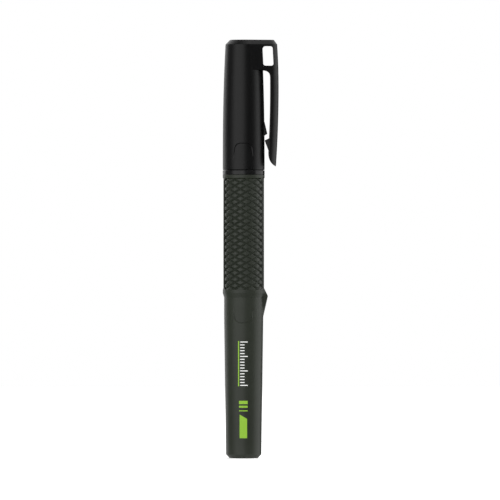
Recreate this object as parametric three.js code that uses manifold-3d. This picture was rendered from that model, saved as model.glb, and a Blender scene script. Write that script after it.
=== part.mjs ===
import * as THREE from 'three';
import { mergeVertices } from 'three/addons/utils/BufferGeometryUtils.js';
import Module from 'manifold-3d';

const wasm = await Module();
wasm.setup();

// A capped chisel-tip permanent marker that stands on its rear end. Millimetres, +Z up.
// The origin is the centre of the barrel's rear face, and the axis of the marker is Z.
// The pocket clip and the anti-roll fin lie at +X, and the front of the marker faces -Y.

// Round forms
const FACETS = 42; // facets round every turned piece: two for each column of the grip's diamonds
const FACET_ANGLE = (2 * Math.PI) / FACETS;
const REACH = 40; // longer than any cut is wide, so that a cutting tool passes right through
const CURVE_SEGMENTS = 6; // in each rounded corner of a plate

// Clearances
const SLIP_FIT = 0.1; // between turned pieces that sit one in the other
const SEAT_GAP = 0.3; // between a piece's end and what it rests against
const PARTING_GAP = 0.2; // the thin dark line between the collar and the cap

// Barrel, outside, from the foot up
const FOOT_RADIUS = 6.08;
const FOOT_CHAMFER = 1.25;
const TAPER_LENGTH = 47.75; // from the foot's chamfer to where the lower barrel runs straight
const SHAFT_RADIUS = 6.71;
const SHAFT_LENGTH = 6.7; // the straight stretch between the taper and the ridge
const RIDGE_RADIUS = 7.23;
const RIDGE_RISE = 1.7;
const RIDGE_LAND = 0.9;
const RIDGE_FALL = 0.7;
const GRIP_RADIUS = 7.04;
const GRIP_LENGTH = 38.0;
const RIM_RADIUS = 7.23;
const RIM_LENGTH = 1.2;

// Barrel, inside
const FLOOR_THICKNESS = 1.6;
const REST_HEIGHT = 1.6; // ribs on the floor that carry the reservoir
const REST_WIDTH = 1.0;
const REST_COUNT = 4;
const REST_HOLE_RADIUS = 1.4; // the ribs stop short of the axis
const BORE_DRAFT = 0.25; // how much wider the bore is at its upper end

// The grip's two panels of diamonds, between crossing V grooves
const PANEL_COLUMNS = 8;
const DIAMOND_PITCH = 2.23; // along the barrel
const TOP_DIAMOND_DROP = 0.42; // from the rim down to the centre of the first diamond
const GROOVE_WIDTH = 1.1; // along the barrel
const GROOVE_DEPTH = 0.35;
const GROOVE_OVERRUN = 0.4; // how far the groove's tool stands out of the surface

// Anti-roll fin, below the grip at +X
const FIN_REACH = 8.36; // from the axis to the fin's crest
const FIN_CREST_DROP = 2.1; // from the top of the ridge down to the crest
const FIN_LENGTH = 7.1; // from the crest down to where the fin runs out
const FIN_CREST_ROUND = 0.6;
const FIN_WIDTH = 3.6;
const FIN_BEVEL = 0.55;

// Thumb recesses: shallow U shapes on the front and the back
const RECESS_DEPTH = 0.35;
const RECESS_LEVELS = 5;
const BARREL_RECESS_DROP = 8.8; // from the foot of the ridge down to the closed end
const BARREL_RECESS_LENGTH = 5.4;
const BARREL_RECESS_WIDTH = 5.9; // at the closed end
const BARREL_RECESS_MOUTH = 6.6; // at the open end
const BARREL_RECESS_CORNER = 1.7;
const CAP_RECESS_RISE = 9.2; // from the cap's foot up to the closed end
const CAP_RECESS_LENGTH = 5.8;
const CAP_RECESS_WIDTH = 5.6;
const CAP_RECESS_MOUTH = 7.2;
const CAP_RECESS_CORNER = 1.5;

// Nib section: skirt in the barrel, collar, neck, cone and nib tube
const SKIRT_WALL = 0.85;
const SKIRT_LENGTH = 11.6;
const SKIRT_LEAD = 0.5;
const COLLAR_RADIUS = 7.28;
const COLLAR_LENGTH = 1.5;
const COLLAR_EDGE = 0.15;
const NECK_RADIUS = 5.42;
const NECK_LENGTH = 18.0;
const NECK_WALL = 1.1;
const CONE_LENGTH = 2.0;
const CONE_FOOT = 0.25; // a small round where the cone leaves the neck and where it meets the tube
const TUBE_RADIUS = 3.75;
const TUBE_LENGTH = 6.0;
const TUBE_CHAMFER_WIDTH = 0.64;
const TUBE_CHAMFER_HEIGHT = 0.47;
const TUBE_LIP = 0.44;
const TUBE_STEP = 0.06;
const HOLDER_LENGTH = 14.0; // the stretch that grips the nib
const BEAD_HEIGHT = 0.15; // snap beads on the skirt and on the neck
const BEAD_LENGTH = 1.0;
const BEAD_CREST = 0.4; // its highest stretch
const SKIRT_BEAD_RISE = 3.0;
const NECK_BEAD_RISE = 4.2;

// Chisel nib
const NIB_RADIUS = 2.5;
const NIB_REACH = 6.95; // from the tube's mouth to the nib's point
const NIB_HEEL = 5.0; // from the tube's mouth to the low end of the writing edge
const NIB_POINT_INSET = 0.41; // from the nib's side to its point
const NIB_POINT_BEVEL = 0.98;
const NIB_EDGE = 0.8; // thickness of the writing edge
const NIB_FLAT_ANGLE = THREE.MathUtils.degToRad(22.5); // lean of each chisel flat
const NIB_BITE = 6.0; // how far the tail runs into the reservoir
const NIB_TAIL_CHAMFER = 0.4;

// Ink reservoir and the film wrapped round it
const RESERVOIR_RADIUS = 4.5;
const FILM_THICKNESS = 0.2;
const FILM_GAP = 0.05;

// Cap, outside
const CAP_LENGTH = 45.1;
const CAP_BASE_RADIUS = 7.24;
const CAP_TOP_RADIUS = 6.28;
const CAP_TAPER_POWER = 2.2; // nearly straight at the foot, drawing in towards the top
const CAP_CHAMFER = 1.6;
const CAP_LEVELS = 9;

// Cap, inside
const CAP_CEILING = 1.6;
const CAP_MOUTH_LEAD = 0.3;
const CAP_SLIDE_GAP = 0.2; // between the neck's bead and the cap's ring
const CAP_RING_HEIGHT = 0.1;
const CAP_RING_RISE = 2.6;
const CAP_STEP_RISE = 0.8; // from the neck's end up to the step that narrows the cap's bore
const CAP_STEP_LENGTH = 1.0;
const STOP_LENGTH = 3.6; // ribs under the ceiling that hold the inner cap down
const STOP_WIDTH = 1.0;
const STOP_DEPTH = 1.6;
const STOP_COUNT = 4;

// Inner cap: the cup that seals round the nib tube
const CUP_GAP = 0.2; // between the cup and the nib tube
const CUP_WALL = 0.8;
const CUP_TOP = 1.0;
const CUP_RISE = 0.5; // from the cone's end up to the cup's lip
const CUP_LEAD = 0.3;

// Clip and the head that carries it: a teardrop in plan, from the cap's wall to the clip's round back
const CLIP_REACH = 12.13; // from the axis to the clip's back where it bows out most
const CLIP_BELLY_DROP = 16.5; // from the cap's top down to there
const CLIP_TOP_DRAW = 0.54; // how far the back draws in at the cap's shoulder
const CLIP_TIP_DRAW = 0.93; // and at the clip's tip
const CLIP_BACK_RADIUS = 3.6;
const CLIP_THICKNESS = 2.9;
const CLIP_TIP_RISE = 1.25; // from the cap's foot up to the clip's tip
const CLIP_TIP_CURVE = 4.75; // height of the tip's rounded inner side
const CLIP_TIP_BELLY = 1.25; // from the tip up to that curve's control point: a higher one is less round
const CLIP_TIP_BACK = 0.1;
const CLIP_LEVELS = 14;
const GAP_LEVELS = 8;
const BACK_STEPS = 12;
const HEAD_BITE = 0.03; // how far the head's flat sides lie inside the cap's round wall
const SEAM_GAP = 0.3; // between the head and the clip, where the real one bends

// Window through the head, and the bridge under it
const WINDOW_DROP = 2.1;
const WINDOW_HEIGHT = 7.0;
const WINDOW_BACK = 1.6; // thickness left between the window and the clip's back
const WINDOW_WALL = 0.12; // thickness left on the cap's round wall
const WINDOW_CORNER = 0.7;
const BRIDGE_THICKNESS = 1.4;
const BRIDGE_FILLET = 2.2;

// Hook inside the clip's tip, and the catch on the cap above it
const HOOK_RISE = 9.65; // from the clip's tip up to the hook's upper ledge
const HOOK_DEPTH = 1.4; // inwards from the clip's inner face
const HOOK_LEDGE_DROP = 0.9;
const HOOK_LENGTH = 4.0; // of its ramp, below the ledge
const HOOK_WIDTH = 5.0;
const HOOK_ROUND = 0.25;
const CATCH_GAP = 0.9; // between the hook's ledge and the catch
const CATCH_DEPTH = 0.85; // out of the cap's wall
const CATCH_LENGTH = 4.9;
const CATCH_LEDGE = 0.8;
const CATCH_WIDTH = 3.4;
const CATCH_ROUND = 0.3;
const ROOT = 0.6; // how far a rib, hook, fin or catch is rooted in what carries it

// Colours
const OLIVE_GREY = 0x3b3f38;
const BLACK = 0x1a1a1c;
const FIBRE_BLACK = 0x1e1e20;
const INK_BLACK = 0x1b1b24;
const CLEAR = 0xd9dcdd;
const NATURAL = 0xd8d8d4;

// Heights worked out from the sizes above
const taperTop = FOOT_CHAMFER + TAPER_LENGTH;
const ridgeFoot = taperTop + SHAFT_LENGTH;
const ridgeTop = ridgeFoot + RIDGE_RISE + RIDGE_LAND;
const gripFoot = ridgeTop + RIDGE_FALL;
const gripTop = gripFoot + GRIP_LENGTH;
const barrelTop = gripTop + RIM_LENGTH;
const collarTop = barrelTop + COLLAR_LENGTH;
const neckTop = collarTop + NECK_LENGTH;
const coneTop = neckTop + CONE_LENGTH;
const tubeTop = coneTop + TUBE_LENGTH;
const reservoirFoot = FLOOR_THICKNESS + REST_HEIGHT + SEAT_GAP;
const reservoirShoulder = collarTop - NECK_WALL;
const reservoirTop = reservoirShoulder - SEAT_GAP;
const capFoot = collarTop + PARTING_GAP;
const capTop = capFoot + CAP_LENGTH;
const capShoulder = capTop - CAP_CHAMFER;
const cupFoot = coneTop + CUP_RISE;
const ceiling = capTop - CAP_CEILING;
const stopFoot = ceiling - STOP_LENGTH;
const cupTop = stopFoot - SEAT_GAP;
const clipBelly = capTop - CLIP_BELLY_DROP;
const clipTip = capFoot + CLIP_TIP_RISE;
const windowTop = capTop - WINDOW_DROP;
const windowFoot = windowTop - WINDOW_HEIGHT;
const bridgeFoot = windowFoot - BRIDGE_THICKNESS;
const seam = bridgeFoot - BRIDGE_FILLET;

// Radii worked out from the sizes above
const filmRadius = RESERVOIR_RADIUS + FILM_GAP + FILM_THICKNESS;
const boreRadius = filmRadius + SLIP_FIT;
const skirtBore = boreRadius + BORE_DRAFT;
const skirtRadius = skirtBore + SKIRT_WALL;
const socketRadius = skirtRadius + BEAD_HEIGHT + SLIP_FIT;
const nibBore = NIB_RADIUS + SLIP_FIT;
const capRing = NECK_RADIUS + BEAD_HEIGHT + CAP_SLIDE_GAP;
const capBore = capRing + CAP_RING_HEIGHT;
const cupBore = TUBE_RADIUS + CUP_GAP;
const cupRadius = cupBore + CUP_WALL;
const cavityRadius = cupRadius + SLIP_FIT;

// A closed geometry as a solid that can be joined and cut.
function solidOf(geometry) {
  geometry.deleteAttribute('normal');
  geometry.deleteAttribute('uv');
  const merged = mergeVertices(geometry);
  const corners = merged.index.array;
  const triangles = [];
  for (let i = 0; i < corners.length; i += 3) {
    const [a, b, c] = corners.slice(i, i + 3);
    if (a !== b && b !== c && c !== a) triangles.push(a, b, c);
  }
  return new wasm.Manifold(new wasm.Mesh({
    numProp: 3,
    vertProperties: merged.attributes.position.array,
    triVerts: Uint32Array.from(triangles),
  }));
}

// A profile of [radius, height] pairs, turned round the marker's axis.
function turned(profile) {
  const points = profile.map(([radius, height]) => new THREE.Vector2(radius, height));
  return solidOf(new THREE.LatheGeometry(points, FACETS).rotateX(Math.PI / 2));
}

// An outline of x and z, as a plate of the given width that lies across the clip's plane.
function plate(outline, width, bevel = 0) {
  const geometry = new THREE.ExtrudeGeometry(outline, {
    depth: width - 2 * bevel,
    bevelEnabled: bevel > 0,
    bevelThickness: bevel,
    bevelSize: bevel,
    bevelOffset: -bevel,
    bevelSegments: 1,
    curveSegments: CURVE_SEGMENTS,
  });
  geometry.translate(0, 0, bevel - width / 2);
  return solidOf(geometry.rotateX(Math.PI / 2));
}

// A closed outline through [x, z, radius] corners, each rounded by its own radius, or sharp without one.
function roundedOutline(corners) {
  const outline = new THREE.Shape();
  corners.forEach(([x, z, radius = 0], i) => {
    const corner = new THREE.Vector2(x, z);
    const before = new THREE.Vector2(...corners.at(i - 1).slice(0, 2));
    const after = new THREE.Vector2(...corners[(i + 1) % corners.length].slice(0, 2));
    const start = corner.clone().add(before.sub(corner).setLength(radius));
    const end = corner.clone().add(after.sub(corner).setLength(radius));
    if (i === 0) outline.moveTo(start.x, start.y);
    else outline.lineTo(start.x, start.y);
    if (radius > 0) outline.quadraticCurveTo(corner.x, corner.y, end.x, end.y);
  });
  outline.closePath();
  return outline;
}

// A solid through outlines with as many points each, one at each height.
function lofted(heights, outlineAt) {
  const rings = heights.map(outlineAt);
  const count = rings[0].length;
  const last = (rings.length - 1) * count;
  const positions = rings.flatMap((ring, level) =>
    ring.flatMap((point) => [point.x, point.y, heights[level]]),
  );
  const triangles = [];
  for (let level = 0; level < last; level += count) {
    for (let i = 0; i < count; i += 1) {
      const a = level + i;
      const b = level + ((i + 1) % count);
      triangles.push(a, b, b + count, a, b + count, a + count);
    }
  }
  THREE.ShapeUtils.triangulateShape(rings[0], []).forEach(([a, b, c]) => triangles.push(a, c, b));
  THREE.ShapeUtils.triangulateShape(rings.at(-1), []).forEach(([a, b, c]) => {
    triangles.push(a + last, b + last, c + last);
  });
  const geometry = new THREE.BufferGeometry();
  geometry.setAttribute('position', new THREE.Float32BufferAttribute(positions, 3));
  geometry.setIndex(triangles);
  return solidOf(geometry);
}

// Everything between two heights.
function slab(bottom, top) {
  const box = new THREE.BoxGeometry(2 * REACH, 2 * REACH, top - bottom);
  return solidOf(box.translate(0, 0, (bottom + top) / 2));
}

// Ribs that stand round the axis, from one radius to another and between two heights.
function ribs(count, width, inner, outer, bottom, top) {
  const spokes = Array.from({ length: count }, (_, i) => {
    const rib = new THREE.BoxGeometry(outer - inner, width, top - bottom);
    rib.translate((inner + outer) / 2, 0, (bottom + top) / 2);
    return solidOf(rib.rotateZ(((i + 0.5) * 2 * Math.PI) / count));
  });
  return wasm.Manifold.union(spokes);
}

// Even steps from one value to another, both included.
function steps(from, to, count) {
  return Array.from({ length: count }, (_, i) => from + ((to - from) * i) / (count - 1));
}

// A low round bead on a turned profile, from its foot to its top.
function bead(radius, middle, height) {
  return [
    [radius, middle - BEAD_LENGTH / 2],
    [radius + height, middle - BEAD_CREST / 2],
    [radius + height, middle + BEAD_CREST / 2],
    [radius, middle + BEAD_LENGTH / 2],
  ];
}

// The cap's outer radius at a height.
function capRadius(height) {
  const rise = Math.max(height - capFoot, 0) / (capShoulder - capFoot);
  return CAP_BASE_RADIUS - (CAP_BASE_RADIUS - CAP_TOP_RADIUS) * rise ** CAP_TAPER_POWER;
}

// How far the clip's back reaches from the axis at a height.
function clipReach(height) {
  const above = height > clipBelly;
  const span = above ? capShoulder - clipBelly : clipBelly - clipTip;
  const draw = above ? CLIP_TOP_DRAW : CLIP_TIP_DRAW;
  return CLIP_REACH - draw * ((height - clipBelly) / span) ** 2;
}

// The clip's inner face at a height.
function clipInner(height) {
  return clipReach(height) - CLIP_THICKNESS;
}

// One V groove that climbs across the front panel: a straight bar, wrapped round the barrel.
// Its joints lie at the columns' centres, where it crosses its neighbours, and at the panel's edges.
function wrappedGroove(middle, rise) {
  const flare = (GROOVE_WIDTH / 2) * (1 + GROOVE_OVERRUN / GROOVE_DEPTH);
  const section = new THREE.Shape();
  section.moveTo(0, -GROOVE_DEPTH);
  section.lineTo(flare, GROOVE_OVERRUN);
  section.lineTo(-flare, GROOVE_OVERRUN);
  section.closePath();
  const joints = PANEL_COLUMNS + 1;
  const bar = new THREE.ExtrudeGeometry(section, { depth: joints, steps: joints, bevelEnabled: false });
  const position = bar.attributes.position;
  for (let i = 0; i < position.count; i += 1) {
    const across = THREE.MathUtils.clamp(2 * position.getZ(i) - joints, -PANEL_COLUMNS, PANEL_COLUMNS);
    const radius = GRIP_RADIUS + position.getY(i);
    const angle = across * FACET_ANGLE;
    const height = middle + position.getX(i) + (rise * across) / 2;
    position.setXYZ(i, radius * Math.sin(angle), -radius * Math.cos(angle), height);
  }
  return solidOf(bar);
}

// All the grooves of both panels, kept between the ridge and the rim.
function gripGrooves() {
  const firstCentre = gripTop - TOP_DIAMOND_DROP;
  const climb = (DIAMOND_PITCH * PANEL_COLUMNS) / 4;
  const count = Math.ceil((gripTop - gripFoot + 2 * climb) / DIAMOND_PITCH) + 1;
  const grooves = [];
  for (let i = 0; i < count; i += 1) {
    const middle = firstCentre + climb - i * DIAMOND_PITCH;
    grooves.push(wrappedGroove(middle - DIAMOND_PITCH / 4, DIAMOND_PITCH / 2));
    grooves.push(wrappedGroove(middle + DIAMOND_PITCH / 4, -DIAMOND_PITCH / 2));
  }
  const front = wasm.Manifold.union(grooves).intersect(slab(gripFoot, gripTop));
  return front.add(front.rotate([0, 0, 180]));
}

// A shallow recess with one closed end, on the front and the back. Its floor meets the wall at the open end.
function thumbRecess(closed, open, width, mouth, corner, wallAt) {
  const away = Math.sign(open - closed);
  const outline = roundedOutline([
    [-width / 2, closed, corner],
    [width / 2, closed, corner],
    [mouth / 2, open],
    [mouth / 2, open + away],
    [-mouth / 2, open + away],
    [-mouth / 2, open],
  ]);
  const floor = steps(closed, open, RECESS_LEVELS).map((height) => {
    const left = (open - height) / (open - closed);
    return [wallAt(height) - RECESS_DEPTH * left, height];
  });
  const ends = [
    [0, closed - away],
    [wallAt(closed) - RECESS_DEPTH, closed - away],
    ...floor,
    [wallAt(open), open + 2 * away],
    [0, open + 2 * away],
  ];
  const floorSolid = turned(away > 0 ? ends : ends.reverse());
  return plate(outline, REACH).subtract(floorSolid);
}

// The anti-roll fin, with its long run-out towards the foot.
function fin() {
  const crest = ridgeTop - FIN_CREST_DROP;
  const outline = roundedOutline([
    [SHAFT_RADIUS - 2 * ROOT, crest - FIN_LENGTH],
    [SHAFT_RADIUS, crest - FIN_LENGTH],
    [FIN_REACH, crest, FIN_CREST_ROUND],
    [GRIP_RADIUS, gripFoot],
    [SHAFT_RADIUS - 2 * ROOT, gripFoot],
  ]);
  return plate(outline, FIN_WIDTH, FIN_BEVEL);
}

// The barrel's outer radius in its lower, tapered stretch.
function shaftRadius(height) {
  const rise = Math.min((height - FOOT_CHAMFER) / TAPER_LENGTH, 1);
  return FOOT_RADIUS + (SHAFT_RADIUS - FOOT_RADIUS) * rise;
}

function barrel() {
  const socketFoot = barrelTop - SKIRT_LENGTH - SEAT_GAP;
  const rimSlope = RIM_RADIUS - GRIP_RADIUS;
  const outside = turned([
    [0, 0],
    [FOOT_RADIUS - FOOT_CHAMFER, 0],
    [FOOT_RADIUS, FOOT_CHAMFER],
    [SHAFT_RADIUS, taperTop],
    [SHAFT_RADIUS, ridgeFoot],
    [RIDGE_RADIUS, ridgeFoot + RIDGE_RISE],
    [RIDGE_RADIUS, ridgeTop],
    [GRIP_RADIUS, gripFoot],
    [GRIP_RADIUS, gripTop],
    [RIM_RADIUS, gripTop + rimSlope],
    [RIM_RADIUS, barrelTop],
    [0, barrelTop],
  ]);
  const inside = turned([
    [0, FLOOR_THICKNESS],
    [boreRadius, FLOOR_THICKNESS],
    [skirtBore, socketFoot],
    [socketRadius, socketFoot],
    [socketRadius, barrelTop + ROOT],
    [0, barrelTop + ROOT],
  ]);
  const closed = ridgeFoot - BARREL_RECESS_DROP;
  const recess = thumbRecess(
    closed,
    closed + BARREL_RECESS_LENGTH,
    BARREL_RECESS_WIDTH,
    BARREL_RECESS_MOUTH,
    BARREL_RECESS_CORNER,
    shaftRadius,
  );
  const rests = ribs(
    REST_COUNT,
    REST_WIDTH,
    REST_HOLE_RADIUS,
    boreRadius + ROOT,
    FLOOR_THICKNESS - ROOT,
    FLOOR_THICKNESS + REST_HEIGHT,
  );
  return outside.add(fin()).subtract(inside).subtract(recess).subtract(gripGrooves()).add(rests);
}

function nibSection() {
  const skirtFoot = barrelTop - SKIRT_LENGTH;
  const lip = tubeTop - TUBE_CHAMFER_HEIGHT - TUBE_LIP;
  const holderFoot = tubeTop - HOLDER_LENGTH;
  const neckBore = NECK_RADIUS - NECK_WALL;
  const cone = (rise) => NECK_RADIUS + ((TUBE_RADIUS - NECK_RADIUS) * rise) / CONE_LENGTH;
  const outer = [
    [skirtRadius - SKIRT_LEAD, skirtFoot],
    [skirtRadius, skirtFoot + SKIRT_LEAD],
    ...bead(skirtRadius, skirtFoot + SKIRT_BEAD_RISE, BEAD_HEIGHT),
    [skirtRadius, barrelTop],
    [COLLAR_RADIUS, barrelTop],
    [COLLAR_RADIUS, collarTop - COLLAR_EDGE],
    [COLLAR_RADIUS - COLLAR_EDGE, collarTop],
    [NECK_RADIUS, collarTop],
    ...bead(NECK_RADIUS, collarTop + NECK_BEAD_RISE, BEAD_HEIGHT),
    [NECK_RADIUS, neckTop - CONE_FOOT],
    [cone(CONE_FOOT), neckTop + CONE_FOOT],
    [cone(CONE_LENGTH - CONE_FOOT), coneTop - CONE_FOOT],
    [TUBE_RADIUS - TUBE_STEP, coneTop + CONE_FOOT],
    [TUBE_RADIUS - TUBE_STEP, lip],
    [TUBE_RADIUS, lip + TUBE_STEP],
    [TUBE_RADIUS, tubeTop - TUBE_CHAMFER_HEIGHT],
    [TUBE_RADIUS - TUBE_CHAMFER_WIDTH, tubeTop],
  ];
  const inner = [
    [nibBore, tubeTop],
    [nibBore, holderFoot],
    [neckBore, holderFoot - (neckBore - nibBore)],
    [neckBore, reservoirShoulder],
    [boreRadius, reservoirShoulder],
    [skirtBore, skirtFoot],
  ];
  return turned([...outer, ...inner, outer[0]]);
}

// The nib is a round rod, cut to a slanted edge in the clip's plane and to a chisel across it.
function chiselNib() {
  const foot = reservoirTop - NIB_BITE;
  const point = tubeTop + NIB_REACH;
  const pointInset = NIB_RADIUS - NIB_POINT_INSET;
  const slope = (NIB_REACH - NIB_HEEL) / (pointInset + NIB_RADIUS);
  const rod = turned([
    [0, foot],
    [NIB_RADIUS - NIB_TAIL_CHAMFER, foot],
    [NIB_RADIUS, foot + NIB_TAIL_CHAMFER],
    [NIB_RADIUS, point],
    [0, point],
  ]);
  const side = new THREE.Shape();
  side.moveTo(-REACH, foot);
  side.lineTo(NIB_RADIUS, foot);
  side.lineTo(NIB_RADIUS, point - NIB_POINT_BEVEL);
  side.lineTo(pointInset, point);
  side.lineTo(pointInset - REACH, point - slope * REACH);
  side.closePath();
  const widening = Math.tan(NIB_FLAT_ANGLE) * REACH;
  const wedge = new THREE.Shape();
  wedge.moveTo(-NIB_EDGE / 2, 0);
  wedge.lineTo(-NIB_EDGE / 2 - widening, -REACH);
  wedge.lineTo(NIB_EDGE / 2 + widening, -REACH);
  wedge.lineTo(NIB_EDGE / 2, 0);
  wedge.closePath();
  const chisel = new THREE.ExtrudeGeometry(wedge, { depth: REACH, bevelEnabled: false });
  chisel.translate(0, 0, -REACH / 2);
  chisel.rotateX(Math.PI / 2);
  chisel.rotateZ(Math.PI / 2);
  chisel.rotateY(-Math.atan(slope));
  chisel.translate(pointInset, 0, point);
  return rod.intersect(plate(side, REACH)).intersect(solidOf(chisel));
}

function inkReservoir() {
  const socketFoot = reservoirTop - NIB_BITE - SEAT_GAP;
  return turned([
    [0, reservoirFoot],
    [RESERVOIR_RADIUS, reservoirFoot],
    [RESERVOIR_RADIUS, reservoirTop],
    [nibBore, reservoirTop],
    [nibBore, socketFoot],
    [0, socketFoot],
  ]);
}

function reservoirFilm() {
  const inner = RESERVOIR_RADIUS + FILM_GAP;
  return turned([
    [inner, reservoirFoot],
    [filmRadius, reservoirFoot],
    [filmRadius, reservoirTop],
    [inner, reservoirTop],
    [inner, reservoirFoot],
  ]);
}

function innerCap() {
  return turned([
    [cupBore + CUP_LEAD, cupFoot],
    [cupRadius, cupFoot],
    [cupRadius, cupTop - CUP_LEAD],
    [cupRadius - CUP_LEAD, cupTop],
    [0, cupTop],
    [0, cupTop - CUP_TOP],
    [cupBore, cupTop - CUP_TOP],
    [cupBore, cupFoot + CUP_LEAD],
    [cupBore + CUP_LEAD, cupFoot],
  ]);
}

// The teardrop of the head and the clip in plan, drawn in by an inset where the top is chamfered.
function teardrop(height, inset) {
  const hubRadius = capRadius(height) - HEAD_BITE - inset;
  const backRadius = CLIP_BACK_RADIUS - inset;
  const centre = clipReach(height) - CLIP_BACK_RADIUS;
  const lean = Math.asin((hubRadius - backRadius) / centre);
  const back = steps(lean - Math.PI / 2, Math.PI / 2 - lean, BACK_STEPS + 1).map(
    (angle) => new THREE.Vector2(centre + backRadius * Math.cos(angle), backRadius * Math.sin(angle)),
  );
  const hubX = hubRadius * Math.sin(lean);
  const hubY = hubRadius * Math.cos(lean);
  return [new THREE.Vector2(hubX, -hubY), ...back, new THREE.Vector2(hubX, hubY)];
}

// The gap between the cap and the clip, with the curve under the bridge and round the clip's tip.
function clipGap() {
  const curveTop = clipTip + CLIP_TIP_CURVE;
  const levels = steps(seam, curveTop, GAP_LEVELS);
  const face = levels.map((height) => new THREE.Vector2(clipInner(height), height));
  const outline = new THREE.Shape();
  outline.moveTo(0, clipTip - ROOT);
  outline.lineTo(0, bridgeFoot);
  outline.lineTo(clipInner(seam) - BRIDGE_FILLET, bridgeFoot);
  outline.quadraticCurveTo(clipInner(seam), bridgeFoot, clipInner(seam), seam);
  face.slice(1).forEach((point) => outline.lineTo(point.x, point.y));
  const belly = clipTip + CLIP_TIP_BELLY;
  outline.quadraticCurveTo(clipInner(curveTop), belly, clipReach(clipTip) - CLIP_TIP_BACK, clipTip);
  outline.lineTo(REACH, clipTip);
  outline.lineTo(REACH, clipTip - ROOT);
  outline.closePath();
  return plate(outline, REACH);
}

// The head and the clip in one, as they are moulded.
function headAndClip() {
  const heights = [...steps(clipTip - ROOT / 2, capShoulder, CLIP_LEVELS), capTop];
  const body = lofted(heights, (height) => teardrop(height, height > capShoulder ? CAP_CHAMFER : 0));
  return body.subtract(clipGap());
}

// The lanyard window, whose inner side follows the cap's round wall.
function headWindow() {
  const outline = roundedOutline([
    [capRadius(windowFoot) + WINDOW_WALL, windowFoot, WINDOW_CORNER],
    [clipReach(windowFoot) - WINDOW_BACK, windowFoot, WINDOW_CORNER],
    [clipReach(windowTop) - WINDOW_BACK, windowTop, WINDOW_CORNER],
    [capRadius(windowTop) + WINDOW_WALL, windowTop, WINDOW_CORNER],
  ]);
  return plate(outline, REACH);
}

// The catch that keeps a pocket's hem under the hook.
function capCatch() {
  const ledge = clipTip + HOOK_RISE + CATCH_GAP;
  const wall = capRadius(ledge);
  const outline = roundedOutline([
    [wall - ROOT, ledge],
    [wall, ledge],
    [wall + CATCH_DEPTH, ledge + CATCH_LEDGE, CATCH_ROUND],
    [wall, ledge + CATCH_LENGTH],
    [wall - ROOT, ledge + CATCH_LENGTH],
  ]);
  return plate(outline, CATCH_WIDTH);
}

function capShell() {
  const outer = steps(capFoot, capShoulder, CAP_LEVELS).map((height) => [capRadius(height), height]);
  const outside = turned([[0, capFoot], ...outer, [CAP_TOP_RADIUS - CAP_CHAMFER, capTop], [0, capTop]]);
  const head = headAndClip().intersect(slab(seam, capTop + ROOT));
  const stepFoot = neckTop + CAP_STEP_RISE;
  const cavity = turned([
    [0, capFoot - ROOT],
    [capBore + CAP_MOUTH_LEAD, capFoot - ROOT],
    [capBore + CAP_MOUTH_LEAD, capFoot],
    [capBore, capFoot + CAP_MOUTH_LEAD],
    ...bead(capBore, capFoot + CAP_RING_RISE, -CAP_RING_HEIGHT),
    [capBore, stepFoot],
    [cavityRadius, stepFoot + CAP_STEP_LENGTH],
    [cavityRadius, ceiling],
    [0, ceiling],
  ]);
  const closed = capFoot + CAP_RECESS_RISE;
  const recess = thumbRecess(
    closed,
    closed - CAP_RECESS_LENGTH,
    CAP_RECESS_WIDTH,
    CAP_RECESS_MOUTH,
    CAP_RECESS_CORNER,
    capRadius,
  );
  const stops = ribs(
    STOP_COUNT,
    STOP_WIDTH,
    cavityRadius - STOP_DEPTH,
    cavityRadius + ROOT,
    stopFoot,
    ceiling + ROOT,
  );
  const solid = outside.add(head).add(capCatch());
  return solid.subtract(cavity).subtract(recess).subtract(headWindow()).add(stops);
}

// The hook, with its ledge towards the catch and a long ramp towards the clip's tip.
function clipHook() {
  const ledge = clipTip + HOOK_RISE;
  const face = clipInner(ledge);
  const outline = roundedOutline([
    [face + ROOT, ledge],
    [face, ledge],
    [face - HOOK_DEPTH, ledge - HOOK_LEDGE_DROP, HOOK_ROUND],
    [face, ledge - HOOK_LEDGE_DROP - HOOK_LENGTH],
    [face + ROOT, ledge - HOOK_LEDGE_DROP - HOOK_LENGTH],
  ]);
  return plate(outline, HOOK_WIDTH);
}

function pocketClip() {
  return headAndClip().intersect(slab(clipTip - ROOT, seam - SEAM_GAP)).add(clipHook());
}

// A named piece with its own material.
function piece(name, solid, color, roughness) {
  const mesh = solid.getMesh();
  const geometry = new THREE.BufferGeometry();
  geometry.setAttribute('position', new THREE.BufferAttribute(mesh.vertProperties, 3));
  geometry.setIndex(new THREE.BufferAttribute(mesh.triVerts, 1));
  geometry.computeVertexNormals();
  const material = new THREE.MeshStandardMaterial({ color, roughness, metalness: 0 });
  const part = new THREE.Mesh(geometry, material);
  part.name = name;
  return part;
}

const marker = new THREE.Group();
marker.name = 'chisel_tip_marker';
marker.add(
  piece('barrel', barrel(), OLIVE_GREY, 0.5),
  piece('nib_section', nibSection(), BLACK, 0.3),
  piece('chisel_nib', chiselNib(), FIBRE_BLACK, 0.9),
  piece('ink_reservoir', inkReservoir(), INK_BLACK, 0.95),
  piece('reservoir_film', reservoirFilm(), CLEAR, 0.25),
  piece('cap_shell', capShell(), BLACK, 0.3),
  piece('inner_cap', innerCap(), NATURAL, 0.5),
  piece('pocket_clip', pocketClip(), BLACK, 0.3),
);

export default marker;
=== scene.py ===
"""A capped chisel-tip permanent marker, dressed for a plain studio photograph."""

import math
from dataclasses import dataclass

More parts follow.
